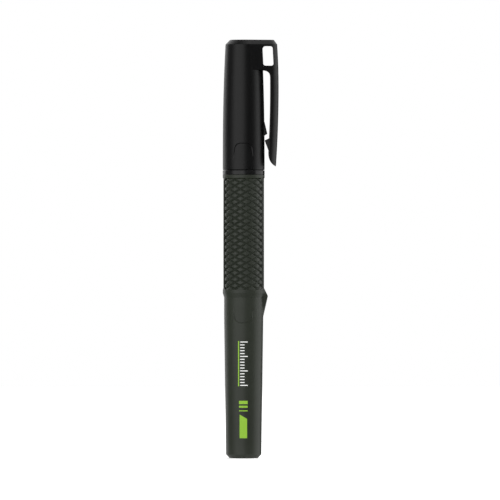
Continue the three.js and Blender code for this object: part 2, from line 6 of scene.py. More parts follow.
import bmesh
import bpy
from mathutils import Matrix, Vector
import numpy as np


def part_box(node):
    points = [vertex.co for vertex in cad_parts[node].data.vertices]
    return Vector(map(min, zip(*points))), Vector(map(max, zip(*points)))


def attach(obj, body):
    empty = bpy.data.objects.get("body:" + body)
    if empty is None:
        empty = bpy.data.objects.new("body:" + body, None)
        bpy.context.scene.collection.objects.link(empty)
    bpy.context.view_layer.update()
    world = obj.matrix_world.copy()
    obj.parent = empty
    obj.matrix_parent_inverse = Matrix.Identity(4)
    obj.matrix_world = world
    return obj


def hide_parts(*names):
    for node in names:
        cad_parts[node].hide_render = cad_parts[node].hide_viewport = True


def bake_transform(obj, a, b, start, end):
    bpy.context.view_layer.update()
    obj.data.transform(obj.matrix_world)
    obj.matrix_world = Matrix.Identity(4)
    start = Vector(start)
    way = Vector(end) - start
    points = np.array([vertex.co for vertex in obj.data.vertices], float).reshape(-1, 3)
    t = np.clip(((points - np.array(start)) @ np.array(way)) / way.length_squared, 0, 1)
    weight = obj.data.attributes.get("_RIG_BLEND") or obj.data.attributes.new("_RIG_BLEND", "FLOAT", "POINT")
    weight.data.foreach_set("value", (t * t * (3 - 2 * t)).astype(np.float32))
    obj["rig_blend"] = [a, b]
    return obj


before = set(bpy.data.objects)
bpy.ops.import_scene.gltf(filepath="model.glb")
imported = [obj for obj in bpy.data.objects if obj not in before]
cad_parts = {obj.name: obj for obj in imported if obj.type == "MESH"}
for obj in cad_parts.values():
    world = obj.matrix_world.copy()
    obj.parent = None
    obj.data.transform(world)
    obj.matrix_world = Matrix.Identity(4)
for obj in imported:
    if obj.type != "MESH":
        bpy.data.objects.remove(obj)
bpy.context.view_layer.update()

MM = 0.001

# Heights that the frame gives. Every length is in millimetres up to the camera.
RIM_TOP = (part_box("barrel")[1] / MM).z
TUBE_TOP = (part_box("nib_section")[1] / MM).z
CAP_FOOT, CAP_TOP = ((corner / MM).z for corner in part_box("cap_shell"))
CLIP_TIP = (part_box("pocket_clip")[0] / MM).z
NIB_FOOT, NIB_POINT = ((corner / MM).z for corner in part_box("chisel_nib"))
CUP_FOOT, CUP_TOP = ((corner / MM).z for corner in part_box("inner_cap"))

# Barrel, from the foot up
FOOT_RADIUS = 6.145
FOOT_CHAMFER = 1.25
FOOT_ROUND = 0.08
FOOT_SHOULDER_ROUND = 0.25
TAPER_TOP = 49.0
TAPER_ROUND = 60.0
SHAFT_RADIUS = 6.78
RIDGE_FOOT = 55.6
RIDGE_FOOT_ROUND = 0.7
RIDGE_RISE = 1.7
RIDGE_ROUND = 0.45
RIDGE_RADIUS = 7.25
RIDGE_TOP = 58.3
RIDGE_TOP_ROUND = 0.4
GRIP_EDGE = 58.46
GRIP_FOOT = 59.0
GRIP_TOP = 96.85
GRIP_RADIUS = 7.05
RIM_RADIUS = 7.255
RIM_FOOT_ROUND = 0.06
RIM_TOP_ROUND = 0.1
CORE_RADIUS = 6.3
CORE_LAP = 0.1

# Heights between which the barrel has closer rows of faces, and how close they are
CLOSE_ROWS_FROM = 46.2
CLOSE_ROW = 0.14
FINE_ROWS_FROM = 46.5
FINE_ROWS_TO = 52.5
FINE_ROW = 0.07

# Grip diamonds. The panel is made flat, with x in half columns from its middle.
HALF_COLUMN = 2 * math.pi / 42
QUARTER_TURN = 10.5
HALF_TURN = 21
PANEL_COLUMNS = 8
PANEL_LEFT = 7.45
PANEL_RIGHT = 7.3
PANEL_CORNER = [(0.0, 1.0), (0.5, 0.4), (1.5, 0.0)]
PANEL_END = 3
DIAMOND_PITCH = 2.23
FIRST_DIAMOND = 96.58
DIAMOND_CROWN = 0.02
GROOVE_WIDTH = 1.1
GROOVE_DEPTH = 0.35
CELL_STEPS = 4
EDGE_DEEPENING = 1.0
EDGE_DEEPENING_START = 6.5
EDGE_DEEPENING_SPAN = 1.0
TOP_RUNOUT = 0.2
TOP_SINK = 0.24
RIM_DROP = 0.28
FOOT_RUNOUT = 0.12

# The border of the panel, and the smooth strip from one panel to the other
PIT_REACH = 0.35
BORDER_SLANT = 0.15
BORDER_DEPTH = 0.66
BORDER_LEFT = 0.95
BORDER_RIGHT = 0.05
OUTER_SLANT_LEFT = 0.02
OUTER_SLANT_RIGHT = 0.3
STRIP_STEPS = 10
# How much painted highlight the smooth strips get, and how fast the painted highlight rises from the grooves'
# painted shade to the diamonds' tops
STRIP_HIGHLIGHT = 0.5
HIGHLIGHT_SLOPE = 2.5

# Fin at +X
FIN_FOOT = 49.0
FIN_CREST = 56.2
FIN_CREST_ROUND = 0.3
FIN_CREST_SINK = 0.25
FIN_REACH = 8.42
FIN_HALF_WIDTH = 1.8
FIN_FLANK = 0.75

# Inside the barrel and the cap
FLOOR_THICKNESS = 1.6
BORE_RADIUS = 4.85
SOCKET_RADIUS = 6.2
SOCKET_FOOT = 86.3
CAP_BORE = 5.87
MOUTH_LEAD_WIDTH = 0.3
MOUTH_LEAD_HEIGHT = 0.35
RING_RISE = 2.1
RING_SLOPE = 0.3
RING_LAND = 0.4
RING_HEIGHT = 0.1
CAP_STEP = 118.5
CAP_STEP_LENGTH = 1.0
CAVITY_RADIUS = 4.85
CAP_CEILING = 1.6
CEILING = CAP_TOP - CAP_CEILING
OVERCUT = 1.0

# Cap
CAP_CHAMFER = 1.6
CAP_SHOULDER = CAP_TOP - CAP_CHAMFER
CAP_SHOULDER_ROUND = 0.12
CAP_TOP_ROUND = 0.07
CAP_BASE_RADIUS = 7.257
CAP_TOP_RADIUS = 6.31
CAP_TAPER_POWER = 2.5
CAP_LIP_ROUND = 0.26
CAP_LIP_DROP = 0.03
CAP_ROW_START = 0.3
CAP_ROW = 1.5
CAP_ROWS = 29
CAP_FINE_ROWS_FROM = 103.0
CAP_FINE_ROWS_TO = 109.5
SHOULDER_MARGIN = 0.8

# Head and clip, a teardrop in plan
CLIP_REACH = 12.12
CLIP_BELLY = 128.5
CLIP_TOP_DRAW = 0.5
CLIP_TIP_DRAW = 0.93
CLIP_THICKNESS = 2.9
CLIP_BACK_RADIUS = 3.6
CLIP_CORNER = 0.35
CLIP_TIP_CURVE = 4.75
CLIP_TIP_BELLY = 1.25
CLIP_TIP_ROUND = 0.3
CLIP_TIP_SINK = 0.12
CLIP_STEPS = 40
TIP_STEPS = 16
TIP_EDGE = 0.1
HEAD_BITE = 0.03
HEAD_STEEP = 0.28
HEAD_ROW = 0.6
HEAD_ROWS = 15
BRIDGE_FOOT = 134.5
BRIDGE_FILLET = 2.5
BRIDGE_REACH = 3.1
BRIDGE_STEPS = 12
BRIDGE_STEP_UP = 0.03
SEAM = BRIDGE_FOOT - BRIDGE_FILLET
WINDOW_FOOT = 136.0
WINDOW_TOP = 142.9
WINDOW_BACK = 1.6
WINDOW_WALL = 0.12
WINDOW_CORNER = 1.0
WINDOW_OUTER_CORNER = 0.7
WINDOW_CUT = 40.0

# The head's plan: points along its outline, and how narrow its parts may get
BACK_STEPS = 80
SIDE_POINTS = 44
CORNER_STEPS = 4
LEAST_BACK = 0.02
LEAST_FLAT = 0.2
LEAST_CORNER = 0.03
LEAST_THICKNESS = 0.12
LEAST_MITRE = 0.4
CORNER_SHARE = 0.4

# Hook inside the clip's tip, and the catch on the cap above it
HOOK_RISE = 9.65
HOOK_DEPTH = 1.55
HOOK_LEDGE_DROP = 0.7
HOOK_LENGTH = 4.3
HOOK_WIDTH = 4.9
HOOK_ROOT = 1.3
HOOK_STEP = 0.1
HOOK_LEDGE_ROUND = 0.25
HOOK_RAMP_ROUND = 0.6
HOOK_BEVEL = 0.15
CATCH_GAP = 1.05
CATCH_DEPTH = 0.95
CATCH_LEDGE = 0.6
CATCH_LENGTH = 4.9
CATCH_WIDTH = 3.4
CATCH_ROOT = 1.0
CATCH_ROOT_RISE = 0.4
CATCH_STEP = 0.05
CATCH_FOOT_ROUND = 0.1
CATCH_TOP_ROUND = 0.8
CATCH_BEVEL = 0.14
TIP_ROUND = 0.16

# Nib section
COLLAR_RADIUS = 7.258
COLLAR_TOP = 99.74
COLLAR_GAP = 0.02
COLLAR_FOOT_ROUND = 0.12
COLLAR_TOP_ROUND = 0.16
COLLAR_LAND = 0.4
COLLAR_DEPTH = 1.1
SKIRT_RADIUS = 5.95
SKIRT_GAP = 0.3
SKIRT_LEAD = 0.5
SKIRT_ROUND = 0.1
NECK_RADIUS = 5.42
NECK_FOOT = CAP_FOOT - CAP_LIP_DROP - 0.02
NECK_TOP = 117.7
NECK_FOOT_ROUND = 0.25
NECK_TOP_ROUND = 0.4
NECK_WALL = 1.1
BEAD_RISE = 3.7
BEAD_SLOPE = 0.3
BEAD_LAND = 0.4
BEAD_HEIGHT = 0.15
BEAD_ROUND = 0.3
CONE_TOP = 119.7
CONE_TOP_ROUND = 0.35
TUBE_RADIUS = 3.75
TUBE_STEP = 0.06
TUBE_LIP = 0.44
TUBE_CHAMFER_WIDTH = 0.64
TUBE_CHAMFER_HEIGHT = 0.47
TUBE_ROUND = 0.15
TUBE_MOUTH_ROUND = 0.12
TUBE_BORE_ROUND = 0.08
HOLDER_LENGTH = 14.0
HOLDER_RUNOUT = 15.7

# Nib and inner cap
NIB_RADIUS = 2.49
NIB_FIT = 0.1
NIB_TAIL_CHAMFER = 0.4
NIB_TAIL_ROUND = 0.1
NIB_HEEL = 5.0
NIB_POINT_INSET = 0.41
NIB_POINT_BEVEL = 0.98
NIB_HALF_EDGE = 0.4
NIB_FLAT_ANGLE = math.radians(22.5)
NIB_WEAR = 0.09
NIB_WORN_ANGLE = math.radians(20)
CUP_GAP = 0.2
CUP_WALL = 0.78
CUP_LEAD = 0.3
CUP_CEILING = 1.0
CUP_ROUND = 0.3
CUP_LEAD_ROUND = 0.05
CUP_LIP_ROUND = 0.15

# Radius round the axis at which one face closes a turned piece's end
BARREL_HUB = 0.6
CAP_HUB = 0.5
CUP_HUB = 0.3
NIB_HUB = 0.2

# Lathe segments, closer round the front and back, where steps and sectors are in degrees
BARREL_SEGMENTS = 240
BORE_SEGMENTS = 192
CUP_SEGMENTS = 128
NIB_SEGMENTS = 96
FINE_SECTOR = 33.0
FINE_STEP = 0.5

# Printed inks on the front: x along the barrel's girth from its middle, heights from the foot
INK_THICKNESS = 0.012
INK_ROOT = 0.04
INK_STEP = 0.3
INK_STEPS = 20
SCALE_FOOT = 25.0
LINE_LEFT = -1.85
LINE_WIDTH = 0.38
LINE_LENGTH = 15.6
TICK_COUNT = 16
TICK_PITCH = 1.0
TICK_INSET = 0.15
TICK_HEIGHT = 0.3
TICK_LEFT = -1.1
TICK_SHORT = 1.5
TICK_LONG = 2.6
TICKS_TO_LONG = 5
STROKE_HEIGHTS = (0.35, 0.7, 1.15)
STROKE_LEFT = -1.5
STROKE_FOOT = 16.3
STROKE_PITCH = 1.25
STROKE_LENGTH = 3.0
BLOCK_LEFT = -1.3
BLOCK_FOOT = 7.0
BLOCK_WIDTH = 2.6
BLOCK_HEIGHT = 8.2
BLOCK_SLANT = 1.5

# Working tolerances
NEAR = 1e-4
ON_PLANE = 1e-5
WALL_MARGIN = 0.2

# Materials: noises in cycles to the metre
CLOUD_SCALE = 260.0
GRAIN_SCALE = 5200.0
STRAND_SCALE = 9000.0
STRAND_DRAW = 0.12
STRAND_DEPTH = 0.05

# Camera and picture, by the photograph's own scale
PHOTO_SCALE = 145.0 / 418.1
PHOTO_AXIS_X = 243.68
PHOTO_FOOT_Y = 458.0
PHOTO_CENTRE = 250.0
CAMERA_AZIMUTH = math.radians(1.0)
CAMERA_LENS = 600.0
CAMERA_SENSOR = 36.0
CAMERA_CLIP_END = 20.0

# Studio, in metres: the floor, the glow of the pale floor under the foot, and what the lights face
FLOOR_RADIUS = 1.5
FLOOR_DROP = 0.00002
GLOW_WIDTH = 0.032
GLOW_DROP = 0.0005
GLOW_RADIANCE = 0.5
LIGHT_TARGET = Vector((0, 0, 0.0725))


def arc_fillet(corners, closed=False, step=12.0):
    """A line of (x, y, radius) corners with each corner rounded by a true arc, in steps of some degrees."""
    points = []
    count = len(corners)
    for i, (x, y, radius) in enumerate(corners):
        corner = Vector((x, y))
        if radius <= 0 or (not closed and i in (0, count - 1)):
            points.append((x, y))
            continue
        before = Vector(corners[i - 1][:2]) - corner
        after = Vector(corners[(i + 1) % count][:2]) - corner
        half = before.angle(after) / 2
        setback = radius / math.tan(half)
        start = corner + before.normalized() * setback
        end = corner + after.normalized() * setback
        middle = corner + (before.normalized() + after.normalized()).normalized() * radius / math.sin(half)
        turn = math.pi - 2 * half
        steps = max(2, math.ceil(math.degrees(turn) / step))
        spoke = start - middle
        sign = 1 if spoke.cross(end - middle) > 0 else -1
        for k in range(steps + 1):
            angle = sign * turn * k / steps
            point = Vector((
                spoke.x * math.cos(angle) - spoke.y * math.sin(angle),
                spoke.x * math.sin(angle) + spoke.y * math.cos(angle),
            ))
            points.append(tuple(middle + point))
    return points


def placed(name, data):
    """A new object in the scene."""
    made = bpy.data.objects.new(name, data)
    bpy.context.scene.collection.objects.link(made)
    return made


def finish_mesh(name, bm, material, body=None, node=None, sharp=35.0):
    """Turns a bmesh in millimetres into a smooth-shaded piece in metres."""
    bmesh.ops.recalc_face_normals(bm, faces=bm.faces)
    bmesh.ops.scale(bm, vec=(MM, MM, MM), verts=bm.verts)
    mesh = bpy.data.meshes.new(name)
    bm.to_mesh(mesh)
    bm.free()
    mesh.shade_smooth()
    mesh.set_sharp_from_angle(angle=math.radians(sharp))
    mesh.materials.append(material)
    piece = placed(name, mesh)
    if node:
        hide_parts(node)
    if body:
        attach(piece, body)
    return piece


def join_rings(bm, rings, close_ends=True):
    """Faces between rings of as many vertices each, and over the two ends."""
    for lower, upper in zip(rings, rings[1:]):
        count = len(lower)
        for i in range(count):
            k = (i + 1) % count
            bm.faces.new((lower[i], lower[k], upper[k], upper[i]))
    if close_ends:
        bm.faces.new(list(reversed(rings[0])))
        bm.faces.new(rings[-1])


def turned(profile, segments, fine=False, loop=False):
    """A bmesh of a profile of (radius, height), turned round the axis. An open profile is closed at both
    ends, and a loop closes on itself. A fine one has more segments round its front and back."""
    turns = [360 * k / segments for k in range(segments)]
    if fine:
        turns = [turn for turn in turns if FINE_SECTOR < turn % 180 < 180 - FINE_SECTOR]
        count = round(2 * FINE_SECTOR / FINE_STEP)
        for middle in (0, 180):
            turns += [(middle - FINE_SECTOR + FINE_STEP * k) % 360 for k in range(count + 1)]
        turns.sort()
    spokes = [(math.sin(math.radians(turn)), -math.cos(math.radians(turn))) for turn in turns]
    bm = bmesh.new()
    rings = []
    for radius, height in profile:
        rings.append([bm.verts.new((radius * x, radius * y, height)) for x, y in spokes])
    join_rings(bm, rings + rings[:1] if loop else rings, close_ends=not loop)
    return bm


def dense(profile, low, high, step):
    """The profile with extra points between two heights, on its straight stretches."""
    points = [profile[0]]
    rows = [low + step * k for k in range(math.ceil((high - low) / step))]
    for (r0, z0), (r1, z1) in zip(profile, profile[1:]):
        inner = [z for z in rows if min(z0, z1) < z < max(z0, z1)]
        for z in sorted(inner, reverse=z1 < z0):
            points.append((r0 + (r1 - r0) * (z - z0) / (z1 - z0), z))
        points.append((r1, z1))
    return points


def smoothstep(value):
    """A smooth rise from 0 to 1."""
    value = min(max(value, 0.0), 1.0)
    return value * value * (3 - 2 * value)


@dataclass
class ThumbRecess:
    """A shallow U-shaped hollow on the front and back, deepest at its closed end and run out at its
    open one."""

    closed: float
    open_end: float
    width: float
    mouth: float
    corner: float
    deepest: float
    wall: float = 0.26
    facing: float = 0.6

    def depth(self, x, z):
        """How deep the hollow is at a place on the wall."""
        along = (z - self.closed) / (self.open_end - self.closed)
        if not -0.1 < along < 1.0:
            return 0.0
        half = (self.width + (self.mouth - self.width) * max(along, 0.0)) / 2
        inward = half - abs(x)
        from_end = math.copysign(abs(z - self.closed), along)
        if inward < self.corner and from_end < self.corner:
            edge = self.corner - math.hypot(self.corner - inward, self.corner - from_end)
        else:
            edge = min(inward, from_end)
        return self.deepest * (1 - along * along) * smoothstep(edge / self.wall + 0.5)

    def press(self, bm):
        """Moves the outer wall's vertices inwards, on the front and the back."""
        for vertex in bm.verts:
            depth = self.depth(vertex.co.x, vertex.co.z)
            radius = math.hypot(vertex.co.x, vertex.co.y)
            if depth > 0 and abs(vertex.co.y) > self.facing * radius and radius > CORE_RADIUS - WALL_MARGIN:
                vertex.co.x *= (radius - depth) / radius
                vertex.co.y *= (radius - depth) / radius


BARREL_RECESS = ThumbRecess(closed=46.9, open_end=52.3, width=6.2, mouth=6.8, corner=2.2, deepest=0.27)
CAP_RECESS = ThumbRecess(closed=109.1, open_end=103.3, width=5.6, mouth=7.2, corner=1.7, deepest=0.30)


def node_tree(name):
    """A new material, with its nodes, links and shader."""
    material = bpy.data.materials.new(name)
    material.use_nodes = True
    nodes = material.node_tree.nodes
    links = material.node_tree.links
    shader = nodes["Principled BSDF"]
    return material, nodes, links, shader


def grain(nodes, links, scale, detail, seed):
    """A noise in object space."""
    coordinates = nodes.new("ShaderNodeTexCoord")
    place = nodes.new("ShaderNodeMapping")
    place.inputs["Location"].default_value = (seed, 0.37 * seed, 0.11 * seed)
    noise = nodes.new("ShaderNodeTexNoise")
    noise.inputs["Scale"].default_value = scale
    noise.inputs["Detail"].default_value = detail
    links.new(coordinates.outputs["Object"], place.inputs["Vector"])
    links.new(place.outputs["Vector"], noise.inputs["Vector"])
    return noise.outputs["Fac"]


def spread(nodes, links, source, low, high):
    """A noise taken to a narrow range of values."""
    ranger = nodes.new("ShaderNodeMapRange")
    ranger.inputs["From Min"].default_value = 0.3
    ranger.inputs["From Max"].default_value = 0.7
    ranger.inputs["To Min"].default_value = low
    ranger.inputs["To Max"].default_value = high
    links.new(source, ranger.inputs["Value"])
    return ranger.outputs["Result"]


def tint(nodes, links, source, dark, light):
    """A colour between two, by a noise."""
    mix = nodes.new("ShaderNodeMix")
    mix.data_type = "RGBA"
    mix.inputs["A"].default_value = (*dark, 1)
    mix.inputs["B"].default_value = (*light, 1)
    links.new(source, mix.inputs["Factor"])
    return mix.outputs["Result"]


def bump(nodes, links, shader, source, depth):
    """A relief in the shader, from a noise."""
    node = nodes.new("ShaderNodeBump")
    node.inputs["Strength"].default_value = 1.0
    node.inputs["Distance"].default_value = depth * MM
    links.new(source, node.inputs["Height"])
    links.new(node.outputs["Normal"], shader.inputs["Normal"])


def plastic(name, dark, light, rough, grain_depth, gloss=0.5, top_highlight=None):
    """Moulded plastic: a faint cloudiness of colour and gloss, and a fine grain from the mould. Where the
    piece has a relief, its high places are painted lighter towards a third colour as a painted highlight,
    and its low places keep the darker colour as painted shade."""
    material, nodes, links, shader = node_tree(name)
    cloud = grain(nodes, links, CLOUD_SCALE, detail=4.0, seed=1.7)
    fine = grain(nodes, links, GRAIN_SCALE, detail=2.0, seed=4.1)
    colour = tint(nodes, links, cloud, dark, light)
    if top_highlight:
        # Painted light: the relief lightens the high places with a painted highlight and leaves the low places
        # darker as painted shade
        relief = nodes.new("ShaderNodeAttribute")
        relief.attribute_name = "relief"
        highlight_mix = nodes.new("ShaderNodeMix")
        highlight_mix.data_type = "RGBA"
        highlight_mix.inputs["B"].default_value = (*top_highlight, 1)
        links.new(colour, highlight_mix.inputs["A"])
        links.new(relief.outputs["Fac"], highlight_mix.inputs["Factor"])
        colour = highlight_mix.outputs["Result"]
    links.new(colour, shader.inputs["Base Color"])
    links.new(spread(nodes, links, fine, *rough), shader.inputs["Roughness"])
    bump(nodes, links, shader, fine, grain_depth)
    shader.inputs["Specular IOR Level"].default_value = gloss
    shader.inputs["IOR"].default_value = 1.5
    return material


def fibre(name, dark, light):
    """Pressed fibre, drawn out along the marker's axis."""
    material, nodes, links, shader = node_tree(name)
    coordinates = nodes.new("ShaderNodeTexCoord")
    place = nodes.new("ShaderNodeMapping")
    place.inputs["Scale"].default_value = (1.0, 1.0, STRAND_DRAW)
    strands = nodes.new("ShaderNodeTexNoise")
    strands.inputs["Scale"].default_value = STRAND_SCALE
    strands.inputs["Detail"].default_value = 5.0
    strands.inputs["Roughness"].default_value = 0.65
    links.new(coordinates.outputs["Object"], place.inputs["Vector"])
    links.new(place.outputs["Vector"], strands.inputs["Vector"])
    strand = strands.outputs["Fac"]
    links.new(tint(nodes, links, strand, dark, light), shader.inputs["Base Color"])
    links.new(spread(nodes, links, strand, 0.7, 0.95), shader.inputs["Roughness"])
    bump(nodes, links, shader, strand, STRAND_DEPTH)
    return material


barrel_plastic = plastic(
    "moulded_olive_grey",
    dark=(0.0183, 0.0229, 0.0143),
    light=(0.0213, 0.0263, 0.0173),
    rough=(0.40, 0.46),
    grain_depth=0.0015,
)
# The grooves keep the dark colours as painted shade, the diamonds' tops take the third colour as a painted
# highlight, and the smooth strips get half of it
grip_plastic = plastic(
    "grip_olive_grey",
    dark=(0.0148, 0.0195, 0.0114),
    light=(0.0173, 0.0220, 0.0139),
    rough=(0.40, 0.46),
    grain_depth=0.0015,
    top_highlight=(0.0230, 0.0278, 0.0196),
)
satin_black = plastic(
    "satin_black",
    dark=(0.0026, 0.0026, 0.0028),
    light=(0.0036, 0.0036, 0.0038),
    rough=(0.38, 0.44),
    grain_depth=0.0012,
)
gloss_black = plastic(
    "gloss_black",
    dark=(0.0056, 0.0056, 0.0058),
    light=(0.0068, 0.0068, 0.0070),
    rough=(0.22, 0.28),
    grain_depth=0.0008,
)
natural_plastic = plastic(
    "undyed_plastic",
    dark=(0.62, 0.62, 0.58),
    light=(0.70, 0.70, 0.66),
    rough=(0.38, 0.5),
    grain_depth=0.004,
)
film_plastic = plastic(
    "clear_wrap",
    dark=(0.66, 0.68, 0.69),
    light=(0.72, 0.74, 0.75),
    rough=(0.12, 0.2),
    grain_depth=0.004,
)
lime_ink = plastic(
    "lime_ink",
    dark=(0.20, 0.39, 0.020),
    light=(0.23, 0.43, 0.032),
    rough=(0.42, 0.55),
    grain_depth=0.002,
    gloss=0.3,
)
white_ink = plastic(
    "white_ink",
    dark=(0.74, 0.75, 0.73),
    light=(0.80, 0.81, 0.79),
    rough=(0.42, 0.55),
    grain_depth=0.002,
    gloss=0.3,
)
nib_fibre = fibre("nib_fibre", dark=(0.008, 0.008, 0.009), light=(0.022, 0.022, 0.024))
reservoir_fibre = fibre("reservoir_fibre", dark=(0.006, 0.006, 0.010), light=(0.014, 0.014, 0.022))


def shaft_radius(z):
    """The lower barrel's radius at a height above its chamfer."""
    rise = (z - FOOT_CHAMFER) / (TAPER_TOP - FOOT_CHAMFER)
    return FOOT_RADIUS + (SHAFT_RADIUS - FOOT_RADIUS) * min(rise, 1.0)


def ridge_slope(z):
    """How far the ridge's upper slope stands out of the grip at a height."""
    share = max(GRIP_FOOT - z, 0.0) / (GRIP_FOOT - RIDGE_TOP)
    return (RIDGE_RADIUS - GRIP_RADIUS) * share


def raise_fin(bm):
    """Draws the anti-roll fin out of the barrel's wall at +X."""
    for vertex in bm.verts:
        x, y, z = vertex.co
        radius = math.hypot(x, y)
        outer = radius >= SHAFT_RADIUS - WALL_MARGIN
        if x < 0 or abs(y) > FIN_HALF_WIDTH or not outer or not FIN_FOOT < z < GRIP_FOOT:
            continue
        if z < FIN_CREST:
            rise = (z - FIN_FOOT) / (FIN_CREST - FIN_FOOT)
            reach = SHAFT_RADIUS + (FIN_REACH - SHAFT_RADIUS) * rise
        else:
            fall = (z - FIN_CREST) / (GRIP_FOOT - FIN_CREST)
            reach = FIN_REACH - (FIN_REACH - GRIP_RADIUS) * fall
        reach -= FIN_CREST_SINK * max(0.0, FIN_CREST_ROUND - abs(z - FIN_CREST))
        gain = (reach - radius) * smoothstep((FIN_HALF_WIDTH - abs(y)) / FIN_FLANK)
        if gain > 0:
            vertex.co.x *= (radius + gain) / radius
            vertex.co.y *= (radius + gain) / radius


def make_barrel():
    """The barrel, with its floor and bore, and with a plain core where the grip goes."""
    outside = arc_fillet([
        (BARREL_HUB, 0.0, 0),
        (FOOT_RADIUS - FOOT_CHAMFER, 0.0, FOOT_ROUND),
        (FOOT_RADIUS, FOOT_CHAMFER, FOOT_SHOULDER_ROUND),
        (SHAFT_RADIUS, TAPER_TOP, TAPER_ROUND),
        (SHAFT_RADIUS, RIDGE_FOOT, RIDGE_FOOT_ROUND),
        (RIDGE_RADIUS, RIDGE_FOOT + RIDGE_RISE, RIDGE_ROUND),
        (RIDGE_RADIUS, RIDGE_TOP, RIDGE_TOP_ROUND),
        (GRIP_RADIUS + ridge_slope(GRIP_EDGE), GRIP_EDGE, 0),
        (CORE_RADIUS, GRIP_EDGE, 0),
        (CORE_RADIUS, GRIP_TOP, 0),
        (GRIP_RADIUS - TOP_SINK, GRIP_TOP, 0),
        (RIM_RADIUS, GRIP_TOP + RIM_DROP, RIM_FOOT_ROUND),
        (RIM_RADIUS, RIM_TOP, RIM_TOP_ROUND),
        (SOCKET_RADIUS, RIM_TOP, 0),
    ])
    inside = [
        (SOCKET_RADIUS, SOCKET_FOOT),
        (BORE_RADIUS, SOCKET_FOOT),
        (BORE_RADIUS, FLOOR_THICKNESS),
        (BARREL_HUB, FLOOR_THICKNESS),
    ]
    outside = dense(outside, CLOSE_ROWS_FROM, GRIP_FOOT, CLOSE_ROW)
    outside = dense(outside, FINE_ROWS_FROM, FINE_ROWS_TO, FINE_ROW)
    bm = turned(outside + inside, BARREL_SEGMENTS, fine=True)
    BARREL_RECESS.press(bm)
    raise_fin(bm)
    finish_mesh("barrel_shell", bm, barrel_plastic, "marker", "barrel")


def diamond_cell(bm, column, height, rise, top):
    """One raised diamond in the unrolled grip: x in half columns, y out of the surface, z up."""
    rings = [
        (1.0, -GROOVE_DEPTH),
        (0.95, -0.94 * GROOVE_DEPTH),
        (top + 0.1, -DIAMOND_CROWN - 0.15 * GROOVE_DEPTH),
        (top + 0.03, -DIAMOND_CROWN - 0.04 * GROOVE_DEPTH),
        (top - 0.05, -0.8 * DIAMOND_CROWN),
        (0.7 * top, -0.3 * DIAMOND_CROWN),
        (0.35 * top, 0.0),
    ]
    corners = [(2, 0), (0, rise), (-2, 0), (0, -rise)]
    made = []
    for scale, depth in rings:
        ring = []
        for (x0, z0), (x1, z1) in zip(corners, corners[1:] + corners[:1]):
            for k in range(CELL_STEPS):
                x = x0 + (x1 - x0) * k / CELL_STEPS
                z = z0 + (z1 - z0) * k / CELL_STEPS
                ring.append(bm.verts.new((column + scale * x, depth, height + scale * z)))
        made.append(ring)
    join_rings(bm, made, close_ends=False)
    centre = bm.verts.new((column, 0.0, height))
    last = made[-1]
    for a, b in zip(last, last[1:] + last[:1]):
        bm.faces.new((a, b, centre))


def vertices_in(geometry):
    """The vertices among the results of a bmesh operator."""
    return [item for item in geometry if isinstance(item, bmesh.types.BMVert)]


def everything(bm):
    """All of a bmesh's vertices, edges and faces."""
    return list(bm.verts) + list(bm.edges) + list(bm.faces)


def split_at(bm, point, normal, clear=False):
    """Splits all faces along a plane, and with clear takes away what lies beyond it."""
    where = {"plane_co": point, "plane_no": normal}
    bmesh.ops.bisect_plane(bm, geom=everything(bm), dist=ON_PLANE, clear_outer=clear, **where)


def edges_where(bm, test):
    """Boundary edges of which both ends pass a test of their place."""
    return [e for e in bm.edges if e.is_boundary and all(test(v.co) for v in e.verts)]


def edges_between(bm, vertices):
    """Boundary edges of which both ends are among some vertices."""
    chosen = set(vertices)
    return [e for e in bm.edges if e.is_boundary and all(v in chosen for v in e.verts)]


def close_holes(bm):
    """A face over every open boundary."""
    bmesh.ops.holes_fill(bm, edges=[e for e in bm.edges if e.is_boundary], sides=0)


def lift_edges(bm, edges, place):
    """Extrudes edges, and puts each new vertex where place says."""
    lifted = vertices_in(bmesh.ops.extrude_edge_only(bm, edges=edges)["geom"])
    for vertex in lifted:
        vertex.co = place(vertex.co)
    return lifted


def round_corners(bm, side, reach):
    """Cuts the two corners off one end of the panel, each with two short planes."""
    for end, height in ((1, GRIP_TOP), (-1, GRIP_EDGE)):
        for (x0, z0), (x1, z1) in zip(PANEL_CORNER, PANEL_CORNER[1:]):
            point = (side * (reach - x0), 0, height - end * z0)
            split_at(bm, point, (side * (z0 - z1), 0, end * (x1 - x0)), clear=True)


def add_border(bm, side, width, outer_slant):
    """The last grooves' pits and the border groove along one end of the panel, and the smooth strip
    beyond it."""
    relief = bm.verts.layers.float["relief"]
    edges = edges_where(bm, lambda co: side * co.x > PANEL_RIGHT - PANEL_END)
    for level in (GRIP_EDGE, GRIP_TOP):
        edges = [e for e in edges if not all(abs(v.co.z - level) < NEAR for v in e.verts)]
    pits = lift_edges(bm, edges, lambda co: Vector((co.x + side * PIT_REACH, co.y, co.z)))
    edges = edges_between(bm, pits)
    for outward, depth in ((BORDER_SLANT, BORDER_DEPTH), (width, BORDER_DEPTH), (outer_slant, 0.0)):
        lifted = lift_edges(bm, edges, lambda co: Vector((co.x + side * outward, -depth, co.z)))
        for vertex in lifted:
            # The border groove's floor gets painted shade, and the smooth strip half of the painted highlight
            vertex[relief] = 0.0 if depth else STRIP_HIGHLIGHT
        edges = edges_between(bm, lifted)
    end = side * QUARTER_TURN
    for left in range(STRIP_STEPS, 0, -1):
        lifted = lift_edges(bm, edges, lambda co: Vector((co.x + (end - co.x) / left, 0, co.z)))
        edges = edges_between(bm, lifted)


